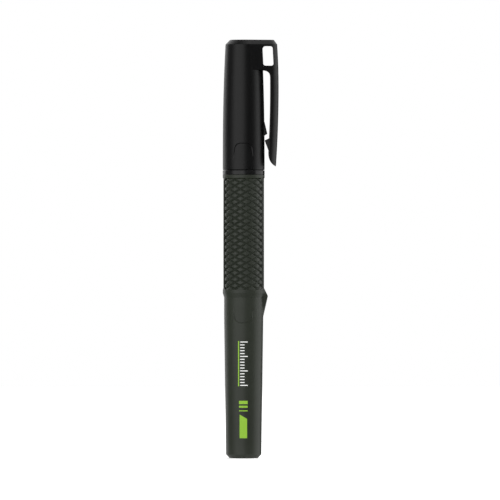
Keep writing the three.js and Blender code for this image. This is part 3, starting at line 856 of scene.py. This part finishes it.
def make_panel():
    """One flat panel of diamonds, with a relief that is 1 on the diamonds and 0 in the grooves, which sets the
    painted highlight on the tops and the painted shade in the grooves.
    """
    rise = DIAMOND_PITCH / 2
    top = (rise - GROOVE_WIDTH / 2) / rise
    rows = math.ceil((GRIP_TOP - GRIP_EDGE) / DIAMOND_PITCH) + 2
    bm = bmesh.new()
    relief = bm.verts.layers.float.new("relief")
    for column in range(-PANEL_COLUMNS - 1, PANEL_COLUMNS + 2, 2):
        shift = 0.0 if (column + 1) % 4 == 0 else rise
        for row in range(-1, rows):
            diamond_cell(bm, column, FIRST_DIAMOND - shift - row * DIAMOND_PITCH, rise, top)
    bmesh.ops.remove_doubles(bm, verts=bm.verts, dist=NEAR)
    split_at(bm, (PANEL_RIGHT, 0, 0), (1, 0, 0), clear=True)
    split_at(bm, (-PANEL_LEFT, 0, 0), (-1, 0, 0), clear=True)
    split_at(bm, (0, 0, GRIP_TOP), (0, 0, 1), clear=True)
    split_at(bm, (0, 0, GRIP_EDGE), (0, 0, -1), clear=True)
    round_corners(bm, 1, PANEL_RIGHT)
    round_corners(bm, -1, PANEL_LEFT)
    for vertex in bm.verts:
        # The relief sets the painted highlight on the diamonds' tops and the painted shade in the grooves
        vertex[relief] = smoothstep(1 + HIGHLIGHT_SLOPE * (vertex.co.y + DIAMOND_CROWN) / GROOVE_DEPTH)
        towards_end = (abs(vertex.co.x) - EDGE_DEEPENING_START) / EDGE_DEEPENING_SPAN
        vertex.co.y *= 1 + EDGE_DEEPENING * smoothstep(towards_end)
    split_at(bm, (0, 0, GRIP_TOP - TOP_RUNOUT), (0, 0, 1))
    for vertex in bm.verts:
        share = max(0.0, 1 - (GRIP_TOP - vertex.co.z) / TOP_RUNOUT)
        vertex.co.y += (-TOP_SINK - vertex.co.y) * share
    return bm


def wrap(bm):
    """Rolls the flat grip round the barrel, its upper edge raised to meet the rim's slope."""
    rim_slope = RIM_DROP / (RIM_RADIUS - GRIP_RADIUS + TOP_SINK)
    for vertex in bm.verts:
        if abs(vertex.co.z - GRIP_TOP) < NEAR:
            vertex.co.z += rim_slope * max(vertex.co.y + TOP_SINK, 0.0)
        angle = vertex.co.x * HALF_COLUMN
        radius = GRIP_RADIUS + vertex.co.y
        vertex.co = Vector((radius * math.sin(angle), -radius * math.cos(angle), vertex.co.z))


def make_grip():
    """Both panels of diamonds, their border grooves and the smooth strips between them, made flat and
    wrapped round the barrel."""
    bm = make_panel()
    add_border(bm, 1, BORDER_RIGHT, OUTER_SLANT_RIGHT)
    add_border(bm, -1, BORDER_LEFT, OUTER_SLANT_LEFT)
    split_at(bm, (0, 0, GRIP_EDGE + FOOT_RUNOUT), (0, 0, 1))
    split_at(bm, (0, 0, GRIP_FOOT), (0, 0, 1))
    for vertex in bm.verts:
        vertex.co.y *= min((vertex.co.z - GRIP_EDGE) / FOOT_RUNOUT, 1.0)
        vertex.co.y += ridge_slope(vertex.co.z)
    twin = bmesh.ops.duplicate(bm, geom=everything(bm))["geom"]
    for vertex in vertices_in(twin):
        vertex.co.x = HALF_TURN - vertex.co.x
    bmesh.ops.reverse_faces(bm, faces=[f for f in twin if isinstance(f, bmesh.types.BMFace)])
    for level in (GRIP_EDGE, GRIP_TOP):
        edges = edges_where(bm, lambda co: abs(co.z - level) < NEAR)
        lift_edges(bm, edges, lambda co: Vector((co.x, CORE_RADIUS - CORE_LAP - GRIP_RADIUS, co.z)))
    wrap(bm)
    bmesh.ops.remove_doubles(bm, verts=bm.verts, dist=NEAR)
    bmesh.ops.dissolve_degenerate(bm, edges=bm.edges, dist=NEAR)
    close_holes(bm)
    raise_fin(bm)
    finish_mesh("grip_diamonds", bm, grip_plastic, "marker", "barrel", sharp=28.0)


def cap_radius(z):
    """The cap's outer radius at a height."""
    rise = max(z - CAP_FOOT, 0.0) / (CAP_SHOULDER - CAP_FOOT)
    return CAP_BASE_RADIUS - (CAP_BASE_RADIUS - CAP_TOP_RADIUS) * min(rise, 1.0) ** CAP_TAPER_POWER


def clip_reach(z):
    """How far the clip's back reaches from the axis at a height."""
    if z > CLIP_BELLY:
        return CLIP_REACH - CLIP_TOP_DRAW * ((z - CLIP_BELLY) / (CAP_SHOULDER - CLIP_BELLY)) ** 2
    return CLIP_REACH - CLIP_TIP_DRAW * ((CLIP_BELLY - z) / (CLIP_BELLY - CLIP_TIP)) ** 2


def clip_inner(z):
    """How far the clip's inner face lies from the axis at a height."""
    return clip_reach(z) - CLIP_THICKNESS


def head_section(z, inner, corner=CLIP_CORNER, inset=0.0, back_draw=0.0):
    """The head or the clip in plan at a height: a flat inner face at x = inner, flat sides that would
    touch the cap's round wall, and a round back. Always as many points, from the inner face round."""
    hub = cap_radius(min(z, CAP_SHOULDER)) - HEAD_BITE - inset
    back = CLIP_BACK_RADIUS - inset
    centre = clip_reach(min(z, CAP_SHOULDER)) - back_draw - CLIP_BACK_RADIUS + HEAD_STEEP * inset
    lean = math.asin((hub - back) / centre)
    touch = Vector((hub * math.sin(lean), hub * math.cos(lean)))
    turn = Vector((centre + back * math.sin(lean), back * math.cos(lean)))
    inner = max(inner, touch.x)
    start = min(inner + corner, centre + back - LEAST_BACK)

    def half_width(x):
        """Half the plan's width at a distance from the axis."""
        if x < turn.x:
            return touch.y + (turn.y - touch.y) * (x - touch.x) / (turn.x - touch.x)
        return math.sqrt(max(back * back - (x - centre) ** 2, 0.0))

    side = [Vector((start, half_width(start)))]
    if start < turn.x:
        side.append(turn.copy())
        first = math.pi / 2 - lean
    else:
        first = math.atan2(side[0].y, start - centre)
    for k in range(1, BACK_STEPS + 1):
        angle = first * (1 - k / BACK_STEPS)
        side.append(Vector((centre + back * math.cos(angle), back * math.sin(angle))))
    side = resampled(side, SIDE_POINTS)
    rounded = []
    flat = max(side[0].y - corner, LEAST_FLAT * side[0].y)
    for k in range(CORNER_STEPS):
        t = k / CORNER_STEPS
        rounded.append(Vector((inner + corner * t * t, flat + (side[0].y - flat) * (2 * t - t * t))))
    face = [Vector((inner, flat * k / CORNER_STEPS)) for k in range(CORNER_STEPS)]
    upper = face + rounded + side
    lower = [Vector((p.x, -p.y)) for p in reversed(upper[1:-1])]
    return [Vector((p.x, p.y, z)) for p in upper + lower]


def resampled(line, count):
    """The same line with evenly spaced points."""
    lengths = [0.0]
    for a, b in zip(line, line[1:]):
        lengths.append(lengths[-1] + (b - a).length)
    points = []
    k = 0
    for i in range(count):
        at = lengths[-1] * i / (count - 1)
        while k < len(line) - 2 and lengths[k + 1] < at:
            k += 1
        share = (at - lengths[k]) / max(lengths[k + 1] - lengths[k], 1e-9)
        points.append(line[k].lerp(line[k + 1], min(share, 1.0)))
    return points


def lofted(sections):
    """A closed bmesh through outlines of as many points each."""
    bm = bmesh.new()
    rings = [[bm.verts.new(point) for point in section] for section in sections]
    join_rings(bm, rings)
    return bm


def shoulder_steps():
    """Heights and insets over the rounded chamfer round the cap's top."""
    line = arc_fillet([
        (0.0, CAP_SHOULDER - OVERCUT, 0),
        (0.0, CAP_SHOULDER, CAP_SHOULDER_ROUND),
        (CAP_CHAMFER, CAP_TOP, CAP_TOP_ROUND),
        (CAP_CHAMFER + OVERCUT, CAP_TOP, 0),
    ])
    return line[1:-1]


def combined(base, tool, operation):
    """Joins or cuts two closed bmeshes."""
    holders = []
    for bm in (base, tool):
        bmesh.ops.recalc_face_normals(bm, faces=bm.faces)
        mesh = bpy.data.meshes.new("working")
        bm.to_mesh(mesh)
        bm.free()
        holders.append(placed("working", mesh))
    modifier = holders[0].modifiers.new("working", "BOOLEAN")
    modifier.solver = "EXACT"
    modifier.operation = operation
    modifier.object = holders[1]
    result = bmesh.new()
    result.from_object(holders[0], bpy.context.evaluated_depsgraph_get())
    bmesh.ops.remove_doubles(result, verts=result.verts, dist=NEAR)
    bmesh.ops.dissolve_degenerate(result, edges=result.edges, dist=NEAR)
    for holder in holders:
        mesh = holder.data
        bpy.data.objects.remove(holder)
        bpy.data.meshes.remove(mesh)
    return result


def inset_outline(points, amount):
    """A closed outline drawn inwards by an amount."""
    count = len(points)
    area = sum(points[i - 1].cross(points[i]) for i in range(count))
    sign = 1 if area > 0 else -1
    moved = []
    for i, point in enumerate(points):
        before = (point - points[i - 1]).normalized()
        after = (points[(i + 1) % count] - point).normalized()
        normal = Vector((-before.y - after.y, before.x + after.x)) * sign
        normal.normalize()
        mitre = max(normal.dot(Vector((-before.y, before.x)) * sign), LEAST_MITRE)
        moved.append(point + normal * amount / mitre)
    return moved


def plate(outline, width, bevel=0.0):
    """An outline of (x, z) points as a plate across the clip's plane, with rounded edges."""
    points = [Vector(p) for p in outline]
    levels = [(-width / 2, 0.0)]
    if bevel > 0:
        turns = [math.radians(a) for a in (90, 60, 30, 0)]
        levels = [(-width / 2 + bevel * (1 - math.sin(a)), bevel * (1 - math.cos(a))) for a in turns]
    levels = levels + [(-y, amount) for y, amount in reversed(levels)]
    bm = bmesh.new()
    rings = []
    for y, amount in levels:
        rings.append([bm.verts.new((p.x, y, p.y)) for p in inset_outline(points, amount)])
    join_rings(bm, rings)
    return bm


def cap_outline():
    """The cap's outside in profile, from its rounded lip to its flat top."""
    lip = []
    for degrees in (0, 22, 45, 67):
        turn = math.radians(degrees)
        lip.append((
            cap_radius(CAP_FOOT) - CAP_LIP_ROUND * (1 - math.sin(turn)),
            CAP_FOOT - CAP_LIP_DROP + CAP_LIP_ROUND * (1 - math.cos(turn)),
        ))
    rows = [CAP_FOOT + CAP_ROW_START + k * CAP_ROW for k in range(CAP_ROWS)]
    wall = [(cap_radius(z), z) for z in rows if z < CAP_SHOULDER - SHOULDER_MARGIN]
    top = [(CAP_TOP_RADIUS - inset, z) for inset, z in shoulder_steps()]
    return dense(lip + wall + top, CAP_FINE_ROWS_FROM, CAP_FINE_ROWS_TO, FINE_ROW)


def head_sections():
    """The head in plan, from the seam above the clip, over the bridge under the window, to the top."""
    sections = []
    seam_inner = clip_inner(SEAM)
    for k in range(BRIDGE_STEPS + 1):
        t = k / BRIDGE_STEPS
        inner = seam_inner * (1 - t * t) + (seam_inner - BRIDGE_REACH) * t * t
        z = SEAM * (1 - t) ** 2 + 2 * BRIDGE_FOOT * t * (1 - t) + BRIDGE_FOOT * t * t
        sections.append(head_section(z, inner))
    sections.append(head_section(BRIDGE_FOOT + BRIDGE_STEP_UP, 0.0))
    rows = [BRIDGE_FOOT + HEAD_ROW * k for k in range(1, HEAD_ROWS)]
    sections += [head_section(z, 0.0) for z in rows if z < CAP_SHOULDER - SHOULDER_MARGIN]
    sections += [head_section(z, 0.0, inset=inset) for inset, z in shoulder_steps()]
    return sections


def make_cap():
    """The cap with its head, catch, bore and window."""
    hub = [(CAP_HUB, CAP_FOOT - CAP_LIP_DROP)]
    body = turned(hub + cap_outline() + [(CAP_HUB, CAP_TOP)], BARREL_SEGMENTS, fine=True)
    CAP_RECESS.press(body)
    body = combined(body, lofted(head_sections()), "UNION")

    ledge = CLIP_TIP + HOOK_RISE + CATCH_GAP
    wall = cap_radius(ledge)
    catch = arc_fillet([
        (wall - CATCH_ROOT, ledge, 0),
        (wall + CATCH_STEP, ledge, CATCH_FOOT_ROUND),
        (wall + CATCH_DEPTH, ledge + CATCH_LEDGE, TIP_ROUND),
        (wall - CATCH_STEP, ledge + CATCH_LENGTH, CATCH_TOP_ROUND),
        (wall - CATCH_ROOT, ledge + CATCH_LENGTH + CATCH_ROOT_RISE, 0),
    ], closed=True)
    body = combined(body, plate(catch, CATCH_WIDTH, CATCH_BEVEL), "UNION")

    ring = CAP_FOOT + RING_RISE
    cavity = turned([
        (CAP_HUB, CAP_FOOT - OVERCUT),
        (CAP_BORE + MOUTH_LEAD_WIDTH, CAP_FOOT - OVERCUT),
        (CAP_BORE + MOUTH_LEAD_WIDTH, CAP_FOOT),
        (CAP_BORE, CAP_FOOT + MOUTH_LEAD_HEIGHT),
        (CAP_BORE, ring),
        (CAP_BORE - RING_HEIGHT, ring + RING_SLOPE),
        (CAP_BORE - RING_HEIGHT, ring + RING_SLOPE + RING_LAND),
        (CAP_BORE, ring + 2 * RING_SLOPE + RING_LAND),
        (CAP_BORE, CAP_STEP),
        (CAVITY_RADIUS, CAP_STEP + CAP_STEP_LENGTH),
        (CAVITY_RADIUS, CEILING),
        (CAP_HUB, CEILING),
    ], BORE_SEGMENTS)
    body = combined(body, cavity, "DIFFERENCE")
    window = arc_fillet([
        (cap_radius(WINDOW_FOOT) + WINDOW_WALL, WINDOW_FOOT, WINDOW_CORNER),
        (clip_reach(WINDOW_FOOT) - WINDOW_BACK, WINDOW_FOOT, WINDOW_OUTER_CORNER),
        (clip_reach(WINDOW_TOP) - WINDOW_BACK, WINDOW_TOP, WINDOW_CORNER),
        (cap_radius(WINDOW_TOP) + WINDOW_WALL, WINDOW_TOP, WINDOW_CORNER),
    ], closed=True)
    body = combined(body, plate(window, WINDOW_CUT), "DIFFERENCE")
    finish_mesh("cap_and_head", body, satin_black, "cap", "cap_shell", sharp=32.0)


def clip_sections():
    """The clip in plan, from its rounded tip to the seam under the head."""
    sections = []
    curve_top = CLIP_TIP + CLIP_TIP_CURVE
    for k in range(TIP_STEPS + 1):
        t = 1 - k / TIP_STEPS
        z = CLIP_TIP + CLIP_TIP_CURVE * (1 - t) ** 2 + 2 * CLIP_TIP_BELLY * t * (1 - t)
        inner = clip_inner(curve_top) * (1 - t * t) + (clip_reach(CLIP_TIP) - TIP_EDGE) * t * t
        draw = CLIP_TIP_SINK * max(0.0, 1 - (z - CLIP_TIP) / CLIP_TIP_ROUND) ** 2
        back = clip_reach(z) - draw
        corner = max(min(CLIP_CORNER, CORNER_SHARE * (back - inner)), LEAST_CORNER)
        sections.append(head_section(z, min(inner, back - LEAST_THICKNESS), corner, back_draw=draw))
    for k in range(1, CLIP_STEPS + 1):
        z = curve_top + (SEAM - curve_top) * k / CLIP_STEPS
        sections.append(head_section(z, clip_inner(z)))
    return sections


def make_clip():
    """The clip's arm, which bends where it leaves the head, and the hook inside its tip."""
    arm = lofted(clip_sections())
    clip = finish_mesh("clip_arm", arm, satin_black, node="pocket_clip", sharp=40.0)
    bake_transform(clip, "cap", "clip", start=(0.0107, 0, (SEAM - 0.05) * MM), end=(0.0107, 0, (SEAM - 3.4) * MM))

    ledge = CLIP_TIP + HOOK_RISE
    ramp_foot = ledge - HOOK_LEDGE_DROP - HOOK_LENGTH
    face = clip_inner(ledge)
    outline = arc_fillet([
        (face + HOOK_ROOT, ledge, 0),
        (face - HOOK_STEP, ledge, HOOK_LEDGE_ROUND),
        (face - HOOK_DEPTH, ledge - HOOK_LEDGE_DROP, TIP_ROUND),
        (face + HOOK_STEP, ramp_foot, HOOK_RAMP_ROUND),
        (face + HOOK_ROOT, ramp_foot, 0),
    ], closed=True)
    hook = plate(outline, HOOK_WIDTH, HOOK_BEVEL)
    finish_mesh("clip_hook", hook, satin_black, "clip", sharp=40.0)


def make_section():
    """The nib section: skirt in the barrel, collar, neck with its snap bead, cone and nib tube."""
    lip = TUBE_TOP - TUBE_CHAMFER_HEIGHT - TUBE_LIP
    bead = COLLAR_TOP + BEAD_RISE
    skirt = SOCKET_FOOT + SKIRT_GAP
    profile = arc_fillet([
        (SKIRT_RADIUS - SKIRT_LEAD, skirt, 0),
        (SKIRT_RADIUS, skirt + SKIRT_LEAD, SKIRT_ROUND),
        (SKIRT_RADIUS, RIM_TOP, 0),
        (COLLAR_RADIUS, RIM_TOP + COLLAR_GAP, COLLAR_FOOT_ROUND),
        (COLLAR_RADIUS, COLLAR_TOP, COLLAR_TOP_ROUND),
        (COLLAR_RADIUS - COLLAR_LAND, COLLAR_TOP, 0),
        (COLLAR_RADIUS - COLLAR_LAND, NECK_FOOT, 0),
        (NECK_RADIUS, NECK_FOOT, NECK_FOOT_ROUND),
        (NECK_RADIUS, bead, BEAD_ROUND),
        (NECK_RADIUS + BEAD_HEIGHT, bead + BEAD_SLOPE, BEAD_ROUND),
        (NECK_RADIUS + BEAD_HEIGHT, bead + BEAD_SLOPE + BEAD_LAND, BEAD_ROUND),
        (NECK_RADIUS, bead + 2 * BEAD_SLOPE + BEAD_LAND, BEAD_ROUND),
        (NECK_RADIUS, NECK_TOP, NECK_TOP_ROUND),
        (TUBE_RADIUS - TUBE_STEP, CONE_TOP, CONE_TOP_ROUND),
        (TUBE_RADIUS - TUBE_STEP, lip, 0),
        (TUBE_RADIUS, lip + TUBE_STEP, 0),
        (TUBE_RADIUS, TUBE_TOP - TUBE_CHAMFER_HEIGHT, TUBE_ROUND),
        (TUBE_RADIUS - TUBE_CHAMFER_WIDTH, TUBE_TOP, TUBE_MOUTH_ROUND),
        (NIB_RADIUS + NIB_FIT, TUBE_TOP, TUBE_BORE_ROUND),
        (NIB_RADIUS + NIB_FIT, TUBE_TOP - HOLDER_LENGTH, 0),
        (NECK_RADIUS - NECK_WALL, TUBE_TOP - HOLDER_RUNOUT, 0),
        (NECK_RADIUS - NECK_WALL, COLLAR_TOP - COLLAR_DEPTH, 0),
        (BORE_RADIUS, COLLAR_TOP - COLLAR_DEPTH, 0),
        (BORE_RADIUS, skirt, 0),
    ])
    bm = turned(profile, BORE_SEGMENTS, loop=True)
    finish_mesh("section_body", bm, gloss_black, "marker", "nib_section", sharp=32.0)


def cut_and_close(bm, point, normal):
    """Takes away what lies beyond a plane, and closes the cut."""
    split_at(bm, point, normal, clear=True)
    close_holes(bm)


def make_nib():
    """The nib: a rod with a slanted end, its point blunted, and a flat cut along each side of its edge."""
    corner = NIB_RADIUS - NIB_POINT_INSET
    slope = (NIB_POINT - TUBE_TOP - NIB_HEEL) / (corner + NIB_RADIUS)
    bm = turned(arc_fillet([
        (NIB_HUB, NIB_FOOT, 0),
        (NIB_RADIUS - NIB_TAIL_CHAMFER, NIB_FOOT, NIB_TAIL_ROUND),
        (NIB_RADIUS, NIB_FOOT + NIB_TAIL_CHAMFER, NIB_TAIL_ROUND),
        (NIB_RADIUS, NIB_POINT + OVERCUT, 0),
        (NIB_HUB, NIB_POINT + OVERCUT, 0),
    ]), NIB_SEGMENTS)
    cut_and_close(bm, (corner, 0, NIB_POINT), (-slope, 0, 1))
    cut_and_close(bm, (corner, 0, NIB_POINT), (NIB_POINT_BEVEL, 0, NIB_POINT_INSET))
    up = Vector((-slope, 0, 1)).normalized()
    for side in (-1, 1):
        normal = Vector((0, side, 0)) * math.cos(NIB_FLAT_ANGLE) + up * math.sin(NIB_FLAT_ANGLE)
        cut_and_close(bm, (corner, side * NIB_HALF_EDGE, NIB_POINT), normal)
    edges = [e for e in bm.edges if e.is_manifold and e.calc_face_angle(0) > NIB_WORN_ANGLE]
    bmesh.ops.bevel(bm, geom=edges, offset=NIB_WEAR, segments=2, affect="EDGES", clamp_overlap=True)
    finish_mesh("nib_rod", bm, nib_fibre, "marker", "chisel_nib", sharp=50.0)


def make_inner_cap():
    """The cup that seals round the nib tube."""
    bore = TUBE_RADIUS + CUP_GAP
    bm = turned(arc_fillet([
        (CUP_HUB, CUP_TOP - CUP_CEILING, 0),
        (bore, CUP_TOP - CUP_CEILING, CUP_ROUND),
        (bore, CUP_FOOT + CUP_LEAD, CUP_LEAD_ROUND),
        (bore + CUP_LEAD, CUP_FOOT, CUP_LEAD_ROUND),
        (bore + CUP_WALL, CUP_FOOT, CUP_LIP_ROUND),
        (bore + CUP_WALL, CUP_TOP, CUP_ROUND),
        (CUP_HUB, CUP_TOP, 0),
    ]), CUP_SEGMENTS)
    finish_mesh("inner_cup", bm, natural_plastic, "cap", "inner_cap", sharp=40.0)


def dress(node, material):
    """A CAD node that stays, with a better material."""
    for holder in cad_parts[node].material_slots:
        holder.link = "OBJECT"
        holder.material = material


def make_print(name, outlines, material):
    """Flat outlines of (arc length, height) as a thin layer of ink on the barrel's front."""
    bm = bmesh.new()
    for outline in outlines:
        bm.faces.new([bm.verts.new((x, INK_ROOT, z)) for x, z in outline])
    for k in range(-INK_STEPS, INK_STEPS + 1):
        split_at(bm, (INK_STEP * k, 0, 0), (1, 0, 0))
    raised = bmesh.ops.extrude_face_region(bm, geom=list(bm.faces))["geom"]
    for vertex in vertices_in(raised):
        vertex.co.y = -INK_THICKNESS
    for vertex in bm.verts:
        radius = shaft_radius(vertex.co.z) - vertex.co.y
        angle = vertex.co.x / shaft_radius(vertex.co.z)
        vertex.co = Vector((radius * math.sin(angle), -radius * math.cos(angle), vertex.co.z))
    finish_mesh(name, bm, material, "marker", sharp=30.0)


def strip(x, z, width, height, slant=0.0):
    """A bar from its lower left corner, its top edge lowered by the slant at the right."""
    return [(x, z), (x + width, z), (x + width, z + height - slant), (x, z + height)]


def make_prints():
    """A ruled scale beside a line, three stroke widths, and a block with a chisel's slant."""
    lime = [strip(LINE_LEFT, SCALE_FOOT, LINE_WIDTH, LINE_LENGTH)]
    for k, height in enumerate(STROKE_HEIGHTS):
        lime.append(strip(STROKE_LEFT, STROKE_FOOT + STROKE_PITCH * k, STROKE_LENGTH, height))
    lime.append(strip(BLOCK_LEFT, BLOCK_FOOT, BLOCK_WIDTH, BLOCK_HEIGHT, BLOCK_SLANT))
    white = []
    for k in range(TICK_COUNT):
        length = TICK_SHORT if k % TICKS_TO_LONG else TICK_LONG
        white.append(strip(TICK_LEFT, SCALE_FOOT + k * TICK_PITCH + TICK_INSET, length, TICK_HEIGHT))
    make_print("print_lime", lime, lime_ink)
    make_print("print_white", white, white_ink)


make_barrel()
make_grip()
make_section()
make_nib()
make_cap()
make_clip()
make_inner_cap()
dress("ink_reservoir", reservoir_fibre)
dress("reservoir_film", film_plastic)
make_prints()

# The camera looks along +Y, level, at the photograph's own scale and framing.
picture_width = 2 * PHOTO_CENTRE * PHOTO_SCALE
camera_data = bpy.data.cameras.new("camera")
camera_data.lens = CAMERA_LENS
camera_data.sensor_width = CAMERA_SENSOR
camera_data.clip_end = CAMERA_CLIP_END
camera = placed("camera", camera_data)
camera_distance = picture_width * CAMERA_LENS / CAMERA_SENSOR
camera.rotation_euler = (math.radians(90), 0, CAMERA_AZIMUTH)
to_camera = Vector((math.sin(CAMERA_AZIMUTH), -math.cos(CAMERA_AZIMUTH), 0))
to_right = Vector((-to_camera.y, to_camera.x, 0))
camera.location = MM * (
    to_camera * camera_distance
    + to_right * (PHOTO_CENTRE - PHOTO_AXIS_X) * PHOTO_SCALE
    + Vector((0, 0, (PHOTO_FOOT_Y - PHOTO_CENTRE) * PHOTO_SCALE))
)
bpy.context.scene.camera = camera


def area_light(name, azimuth, elevation, distance, width, height, radiance):
    """A soft box that faces the marker's middle. Azimuth 0 is the camera's side, and grows to the right."""
    data = bpy.data.lights.new(name, "AREA")
    data.shape = "RECTANGLE"
    data.size = width
    data.size_y = height
    data.energy = math.pi * width * height * radiance
    light = placed(name, data)
    light.visible_camera = False
    around = math.radians(azimuth)
    up = math.radians(elevation)
    away = Vector((math.sin(around) * math.cos(up), -math.cos(around) * math.cos(up), math.sin(up)))
    light.location = LIGHT_TARGET + away * distance
    light.rotation_euler = (-away).to_track_quat("-Z", "Y").to_euler()


area_light("front_left", -28, 2, distance=0.9, width=1.21, height=1.1, radiance=0.95)
area_light("right_side", 103, 2, distance=0.9, width=1.08, height=1.1, radiance=1.0)
area_light("left_behind", -139, 2, distance=1.0, width=0.75, height=1.1, radiance=1.15)
area_light("left_dim", -88, 2, distance=0.9, width=0.86, height=1.1, radiance=0.06)
area_light("overhead_right", 90, 66, distance=0.95, width=1.2, height=0.93, radiance=0.48)
area_light("high_behind", 180, 43, distance=1.1, width=2.6, height=1.1, radiance=0.95)

# A glow close under the foot, which only the foot's chamfer reflects
glow_data = bpy.data.lights.new("under_foot", "AREA")
glow_data.shape = "DISK"
glow_data.size = GLOW_WIDTH
glow_data.energy = math.pi * math.pi * (GLOW_WIDTH / 2) ** 2 * GLOW_RADIANCE
glow = placed("under_foot", glow_data)
glow.visible_camera = False
glow.location = (0, 0, -GLOW_DROP)
glow.rotation_euler = (math.pi, 0, 0)

# A plain pale floor and a white surround
floor_mesh = bmesh.new()
bmesh.ops.create_circle(floor_mesh, cap_ends=True, segments=96, radius=FLOOR_RADIUS)
floor_data = bpy.data.meshes.new("floor")
floor_mesh.to_mesh(floor_data)
floor_mesh.free()
floor = placed("floor", floor_data)
floor_material, _, _, floor_shader = node_tree("pale_floor")
floor_shader.inputs["Base Color"].default_value = (0.97, 0.97, 0.97, 1)
floor_shader.inputs["Roughness"].default_value = 0.9
floor_shader.inputs["Specular IOR Level"].default_value = 0.0
floor_data.materials.append(floor_material)
floor.visible_glossy = False
floor.location.z = -FLOOR_DROP

world = bpy.data.worlds.new("studio")
bpy.context.scene.world = world
world.use_nodes = True
surround = world.node_tree.nodes["Background"]
surround.inputs["Color"].default_value = (1, 1, 1, 1)
surround.inputs["Strength"].default_value = 1.0
world.cycles_visibility.glossy = False
bpy.context.scene.view_settings.view_transform = "Standard"
